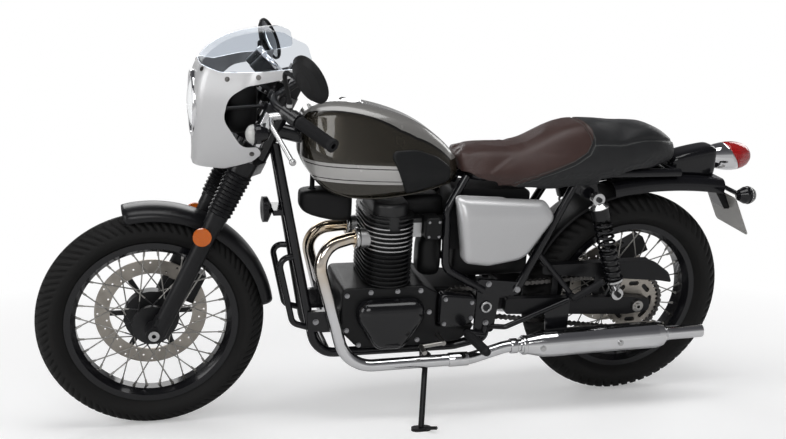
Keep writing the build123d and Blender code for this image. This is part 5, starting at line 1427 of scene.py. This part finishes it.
# Rounded housings skinned through sections: (x, lowest z, highest z, half width) in millimetres
housingSettings = {
    "tail_cowl": {"finish": "glossBlack", "slot": "black_paint", "square": 4.5,
                  "rows": ((-836, 742, 766, 22), (-838, 734, 777, 36), (-846, 727, 788, 43),
                           (-866, 722, 796, 47), (-900, 719, 805, 48),
                           (-940, 716, 813, 48), (-968, 714, 818, 48), (-982, 716, 818, 45),
                           (-988, 724, 812, 39), (-989.5, 738, 800, 24))},
    "battery_box": {"finish": "mouldedBlack", "slot": "black_plastic", "square": 8.0,
                    "rows": ((-142, 440, 530, 50), (-146, 432, 540, 60), (-166, 428, 545, 64),
                             (-360, 428, 545, 64), (-376, 434, 540, 60), (-380, 444, 530, 50))},
    "starter_housing": {"finish": "castBlack", "slot": "black_paint", "square": 4.0,
                        "rows": ((-42, 446, 520, 20), (-45, 436, 540, 34), (-58, 426, 560, 44),
                                 (-96, 424, 574, 46), (-108, 432, 566, 40), (-112, 446, 552, 24))},
    "rail_cover": {"finish": "mouldedBlack", "slot": "black_plastic", "square": 4.0,
                   "rows": ((30, 640, 664, 18), (26, 630, 672, 30), (8, 622, 678, 38), (-40, 618, 682, 42),
                            (-88, 614, 682, 42), (-104, 622, 676, 34), (-108, 634, 664, 20))},
    "lamp_backing": {"finish": "mouldedBlack", "slot": "black_plastic", "square": 4.0, "body": "steering",
                     "rows": ((532, 900, 1000, 40), (530, 884, 1014, 58), (520, 872, 1024, 70),
                              (500, 866, 1030, 74), (462, 876, 1018, 66),
                              (448, 886, 1006, 56), (445, 900, 992, 40))},
    "coil_pack": {"finish": "mouldedBlack", "slot": "black_plastic", "square": 5.0,
                  "rows": ((318, 652, 688, 20), (313, 640, 696, 32), (292, 626, 700, 41), (232, 610, 700, 44),
                           (186, 604, 698, 44), (170, 610, 690, 38), (166, 622, 678, 24))},
}


def housingMesh(s, points=48):
    rings = []
    for x, low, high, half in s["rows"]:
        ring = []
        for k in range(points):
            angle = 2 * math.pi * k / points
            c, d = math.cos(angle), math.sin(angle)
            reach = (abs(c) ** s["square"] + abs(d) ** s["square"]) ** (-1 / s["square"])
            ring.append(onBike(x, half * reach * c, (low + high) / 2 + (high - low) / 2 * reach * d))
        rings.append(ring)
    ends = [[onBike(row[0], 0, (row[1] + row[2]) / 2)] for row in (s["rows"][0], s["rows"][-1])]
    return ringsToMesh([ends[0]] + rings + [ends[1]], "housing")


for pieceName, s in housingSettings.items():
    housing = linked(pieceName, housingMesh(s))
    rounding = housing.modifiers.new("round", "SUBSURF")
    rounding.levels = rounding.render_levels = 1
    bakeModifiers(housing)
    finishPiece(housing, s.get("body", "chassis"), s["finish"])
# Posts that hang the coil pack from the frame's spine: foot height, (x, length), radius
coilPostSettings = {"foot": 690, "at": ((200, 0.1105), (280, 0.1315)), "radius": 0.007}
posts = []
for x, tall in coilPostSettings["at"]:
    wide = coilPostSettings["radius"]
    profile = [(0.0, 0.0), (wide + 0.006, 0.0), (wide + 0.006, 0.009), (wide, 0.012), (wide, tall),
               (0.0, tall)]
    posts.append(turnedAt([facingFrame(onBike(x, 0, coilPostSettings["foot"]), upAxis)], profile, 24))
addPiece("coil_posts", joined(posts), "chassis", "satinBlack")
print("housings made")

# Tail lamp: one egg, cut on a slant into a bright bowl and a red lens (metres back from the cowl)
tailSettings = {
    "at": (-985.3, 0, 778), "cut": 0.07, "slant": 0.62, "gap": 0.0008,
    "egg": ((0.0, 0.0), (0.031, 0.0), (0.0335, 0.004), (0.0385, 0.019), (0.0425, 0.039), (0.045, 0.058),
            (0.0455, 0.076), (0.0438, 0.094), (0.0395, 0.111), (0.0325, 0.125), (0.0225, 0.135),
            (0.011, 0.1395), (0.0, 0.1405)),
}
tailFrame = axesFrame(onBike(*tailSettings["at"]), leftAxis, upAxis, -foreAxis)


def tailPart(rear):
    s = tailSettings
    shape = bmesh.new()
    shape.from_mesh(lathe(s["egg"], 64))
    way = Vector((0, s["slant"], 1)).normalized()
    place = Vector((0, 0, s["cut"] + (s["gap"] if rear else 0)))
    everything = shape.verts[:] + shape.edges[:] + shape.faces[:]
    bmesh.ops.bisect_plane(shape, geom=everything, plane_co=place, plane_no=way, clear_inner=rear,
                           clear_outer=not rear)
    bmesh.ops.holes_fill(shape, edges=[edge for edge in shape.edges if edge.is_boundary])
    bmesh.ops.recalc_face_normals(shape, faces=shape.faces)
    mesh = meshFrom(shape, "tail")
    mesh.transform(tailFrame)
    return mesh


addPiece("tail_bowl", tailPart(False), "chassis", "chrome", ["tail_lamp"])
addPiece("tail_glass", tailPart(True), "chassis", "lensRed", ["tail_lens"])
print("tail lamp fitted")

# Seat: the CAD cushion, remeshed and blown up a little by the cloth solver, then sewn
seatSettings = {"voxel": 0.007, "ease": 22, "shrink": 0.004, "pressure": 4.0, "frames": 14, "cap": 0.007,
                "seamDeep": 0.0035, "seamWide": 0.006}
borderGuide = [(-290, 130, 707), (-312, 130, 732), (-354, 130, 746), (-414, 130, 769), (-478, 130, 795),
               (-523, 130, 826), (-541, 120, 858), (-539, 108, 880), (-528, 80, 905), (-518, 40, 915)]
rearGuide = [(-546, 125, 860), (-600, 120, 864), (-660, 112, 866), (-717, 98, 864), (-770, 80, 856),
             (-812, 56, 844), (-836, 20, 832)]


def swell(cushion):
    s = seatSettings
    evened(cushion, s["voxel"], s["ease"])
    mesh = cushion.data
    inverse = bikeFrame.inverted()
    pinned = cushion.vertex_groups.new(name="base")
    for vert in mesh.vertices:
        underside = (inverse.to_3x3() @ vert.normal).z < -0.35
        pinned.add([vert.index], 1.0 if underside else 0.0, "REPLACE")
        if not underside:
            vert.co -= vert.normal * s["shrink"]
    before = [vert.co.copy() for vert in mesh.vertices]
    cloth = cushion.modifiers.new("padding", "CLOTH")
    cloth.settings.vertex_group_mass = "base"
    cloth.settings.use_pressure = True
    cloth.settings.uniform_pressure_force = s["pressure"]
    cloth.settings.effector_weights.gravity = 0.0
    cloth.settings.quality = 4
    for number in range(1, s["frames"] + 1):
        bpy.context.scene.frame_set(number)
    bakeModifiers(cushion)
    bpy.context.scene.frame_set(1)
    for vert, start in zip(cushion.data.vertices, before):
        move = vert.co - start
        if move.length > s["cap"]:
            vert.co = start + move.normalized() * s["cap"]
    smoothing = cushion.modifiers.new("round", "SUBSURF")
    smoothing.levels = smoothing.render_levels = 1
    bakeModifiers(cushion)


def bothSides(guide):
    return guide + [(x, -y, z) for x, y, z in reversed(guide)]


def snapped(guide, surface, steps=24):  # the guide, divided and laid on the cushion
    places = [onBike(*point) for point in guide]
    laid = []
    for first, last in zip(places, places[1:]):
        for k in range(steps):
            near = surface.find_nearest(first.lerp(last, k / steps))
            laid.append((near[0], near[1]))
    return laid


def sew(cushion, seams):  # pulls the cover in along each seam
    s = seatSettings
    tree = KDTree(sum(len(seam) for seam in seams))
    number = 0
    for seam in seams:
        for place, normal in seam:
            tree.insert(place, number)
            number += 1
    tree.balance()
    for vert in cushion.data.vertices:
        gap = tree.find(vert.co)[2]
        if gap < 3 * s["seamWide"]:
            vert.co -= vert.normal * s["seamDeep"] * math.exp(-(gap / s["seamWide"]) ** 2)


cushion = linked("seat_cushion", weldedNode("seat", "cushion"))
swell(cushion)
seatSurface = surfaceOf(cushion.data)
borderSeam = snapped(bothSides(borderGuide), seatSurface)
rearSeam = snapped(bothSides(rearGuide), seatSurface)
sew(cushion, [borderSeam, rearSeam])
cushion.vertex_groups.clear()
finishPiece(cushion, "chassis", "seatCover", ["seat"])
sewnSurface = surfaceOf(cushion.data)
stitchSettings = {"pitch": 0.0065, "length": 0.0048, "thread": 0.0007, "beside": 0.0055}
threads = []
for seam, way in ((borderSeam, 1), (borderSeam, -1), (rearSeam, 1)):
    line = []
    for k, (place, normal) in enumerate(seam):
        tangent = (seam[min(k + 1, len(seam) - 1)][0] - seam[max(k - 1, 0)][0]).normalized()
        near = sewnSurface.find_nearest(place + tangent.cross(normal) * way * stitchSettings["beside"])
        line.append(near[0] + near[1] * stitchSettings["thread"] * 0.6)
    threads.append(runTree(lineCarrier(line), trees["stitch"], {
        "Pitch": stitchSettings["pitch"], "Length": stitchSettings["length"],
        "Thread": stitchSettings["thread"], "Material": finishes["paleThread"]}))
addPiece("seat_stitches", joined(threads), "chassis", "paleThread", smooth=False)
print("seat padded and sewn")

# Tank seam: a folded lip along the lower edge of each side, from the tank's own stations (x, low, half width)
tankLipSettings = {"stations": ((296, 768, 90), (240, 704, 120), (140, 687, 132), (30, 697, 130),
                                (-60, 712, 112), (-108, 724, 90)), "inset": 0.74, "drop": 4, "radius": 0.0032}


def tankLip(side):
    s = tankLipSettings
    curve = bpy.data.curves.new("lip", "CURVE")
    curve.dimensions = "3D"
    spline = curve.splines.new("NURBS")
    spline.points.add(len(s["stations"]) - 1)
    for point, (x, low, half) in zip(spline.points, s["stations"]):
        point.co = (*onBike(x, side * half * s["inset"], low + s["drop"]), 1)
    spline.order_u = 3
    spline.use_endpoint_u = True
    spline.resolution_u = 10
    curve.bevel_depth = s["radius"]
    curve.bevel_resolution = 3
    curve.use_fill_caps = True
    carrier = linked("lip", curve)
    mesh = evaluated(carrier)
    bpy.data.objects.remove(carrier)
    return mesh


addPiece("tank_lip", joined([tankLip(1), tankLip(-1)]), "chassis", "tankPaint")
print("tank lip added")

# Floor, world, lamps and camera
stageSettings = {"floor": (0.8, 0.8, 0.8, 1), "reach": 14.0, "fadeFrom": 1.1, "fadeTo": 2.6, "lift": 0.3,
                 "glossy": 0.4}


def pinFloor():
    shape = bmesh.new()
    bmesh.ops.create_circle(shape, cap_ends=True, segments=96, radius=stageSettings["reach"])
    floor = linked("floor", meshFrom(shape, "floor"))
    material, tree, shader = newMaterial("floorPaper")
    spot = grow(tree, "ShaderNodeTexCoord").outputs["Object"]
    reach = grow(tree, "ShaderNodeVectorMath", {0: spot}, operation="LENGTH").outputs["Value"]
    inputs = {"Value": reach, "From Min": stageSettings["fadeFrom"], "From Max": stageSettings["fadeTo"]}
    fade = grow(tree, "ShaderNodeMapRange", inputs).outputs[0]
    shader.inputs["Base Color"].default_value = stageSettings["floor"]
    shader.inputs["Roughness"].default_value = 0.85
    path = grow(tree, "ShaderNodeLightPath").outputs
    glossy = maths(tree, "MULTIPLY", path["Is Glossy Ray"], stageSettings["glossy"])
    seen = maths(tree, "MAXIMUM", path["Is Camera Ray"],
                 maths(tree, "MAXIMUM", glossy, path["Is Transmission Ray"]))
    glow = grow(tree, "ShaderNodeEmission", {"Color": (1, 1, 1, 1), "Strength": 1.0}).outputs[0]
    lift = maths(tree, "MULTIPLY", path["Is Camera Ray"], stageSettings["lift"])
    tree.links.new(lift, shader.inputs["Emission Strength"])
    shader.inputs["Emission Color"].default_value = (1, 1, 1, 1)
    share = maths(tree, "MULTIPLY", fade, seen)
    mixed = grow(tree, "ShaderNodeMixShader", {0: share, 1: shader.outputs[0], 2: glow}).outputs[0]
    tree.links.new(mixed, tree.nodes["Material Output"].inputs["Surface"])
    floor.data.materials.append(material)


pinFloor()

worldSettings = {"low": (0.4, 0.4, 0.41, 1), "high": (0.14, 0.14, 0.15, 1), "strength": 0.6, "glossy": 0.4}


def lightWorld():
    world = bpy.data.worlds.new("studio")
    bpy.context.scene.world = world
    world.use_nodes = True
    tree = world.node_tree
    rise = axesOf(tree, grow(tree, "ShaderNodeTexCoord").outputs["Generated"])[2]
    share = grow(tree, "ShaderNodeMapRange", {"Value": rise, "From Min": 0.0, "From Max": 0.7}).outputs[0]
    sky = mixColour(tree, share, worldSettings["low"], worldSettings["high"])
    soft = grow(tree, "ShaderNodeBackground",
                {"Color": sky, "Strength": worldSettings["strength"]}).outputs[0]
    white = grow(tree, "ShaderNodeBackground", {"Color": (1, 1, 1, 1), "Strength": 1.0}).outputs[0]
    path = grow(tree, "ShaderNodeLightPath").outputs
    near = grow(tree, "ShaderNodeMapRange", {"Value": rise, "From Min": 0.3, "From Max": 0.08}).outputs[0]
    glossy = maths(tree, "MULTIPLY", maths(tree, "MULTIPLY", path["Is Glossy Ray"], near),
                   worldSettings["glossy"])
    seen = maths(tree, "MAXIMUM", path["Is Camera Ray"],
                 maths(tree, "MAXIMUM", glossy, path["Is Transmission Ray"]))
    mixed = grow(tree, "ShaderNodeMixShader", {0: seen, 1: soft, 2: white}).outputs[0]
    tree.links.new(mixed, tree.nodes["World Output"].inputs["Surface"])


lightWorld()

lampTable = (  # name, place, size across, watts
    ("overhead", (0.2, 0.7, 3.2), (3.2, 1.4), 52),
    ("leftSide", (1.4, 3.6, 2.3), (2.2, 1.4), 44),
    ("frontSide", (3.6, 0.8, 1.7), (1.4, 1.8), 30),
    ("rearSide", (-3.2, -1.4, 2.2), (1.6, 1.6), 26),
    ("farSide", (0.4, -3.2, 2.2), (2.4, 1.2), 26),
)
lampTarget = Vector((0, 0, 0.5))
for lampName, place, size, watts in lampTable:
    data = bpy.data.lights.new(lampName, "AREA")
    data.shape = "RECTANGLE"
    data.size, data.size_y = size
    data.energy = watts
    lamp = linked(lampName, data)
    lamp.location = place
    lamp.rotation_euler = (lampTarget - Vector(place)).to_track_quat("-Z", "Y").to_euler()

# Camera as solved from the photograph: metres from the ground point, degrees, pixels
cameraSettings = {"place": (0.828, 3.0483, 0.997), "yawDeg": 15.099, "pitchDeg": 7.652, "rollDeg": 0.384,
                  "focalPixels": 1041.54, "imageWidth": 786, "sensor": 36.0}


def aimCamera():
    s = cameraSettings
    yaw, pitch, roll = (math.radians(s[key]) for key in ("yawDeg", "pitchDeg", "rollDeg"))
    ahead = Vector((-math.sin(yaw) * math.cos(pitch), -math.cos(yaw) * math.cos(pitch), -math.sin(pitch)))
    right = ahead.cross(Vector((0, 0, 1))).normalized()
    up = right.cross(ahead)
    rolledRight = right * math.cos(roll) + up * math.sin(roll)
    rolledUp = up * math.cos(roll) - right * math.sin(roll)
    data = bpy.data.cameras.new("camera")
    data.sensor_width = s["sensor"]
    data.lens = s["focalPixels"] * s["sensor"] / s["imageWidth"]
    camera = linked("camera", data)
    camera.matrix_world = axesFrame(groundPoint + Vector(s["place"]), rolledRight, rolledUp, -ahead)
    bpy.context.scene.camera = camera


aimCamera()
bpy.context.scene.view_settings.view_transform = "Standard"
print("stage lit")
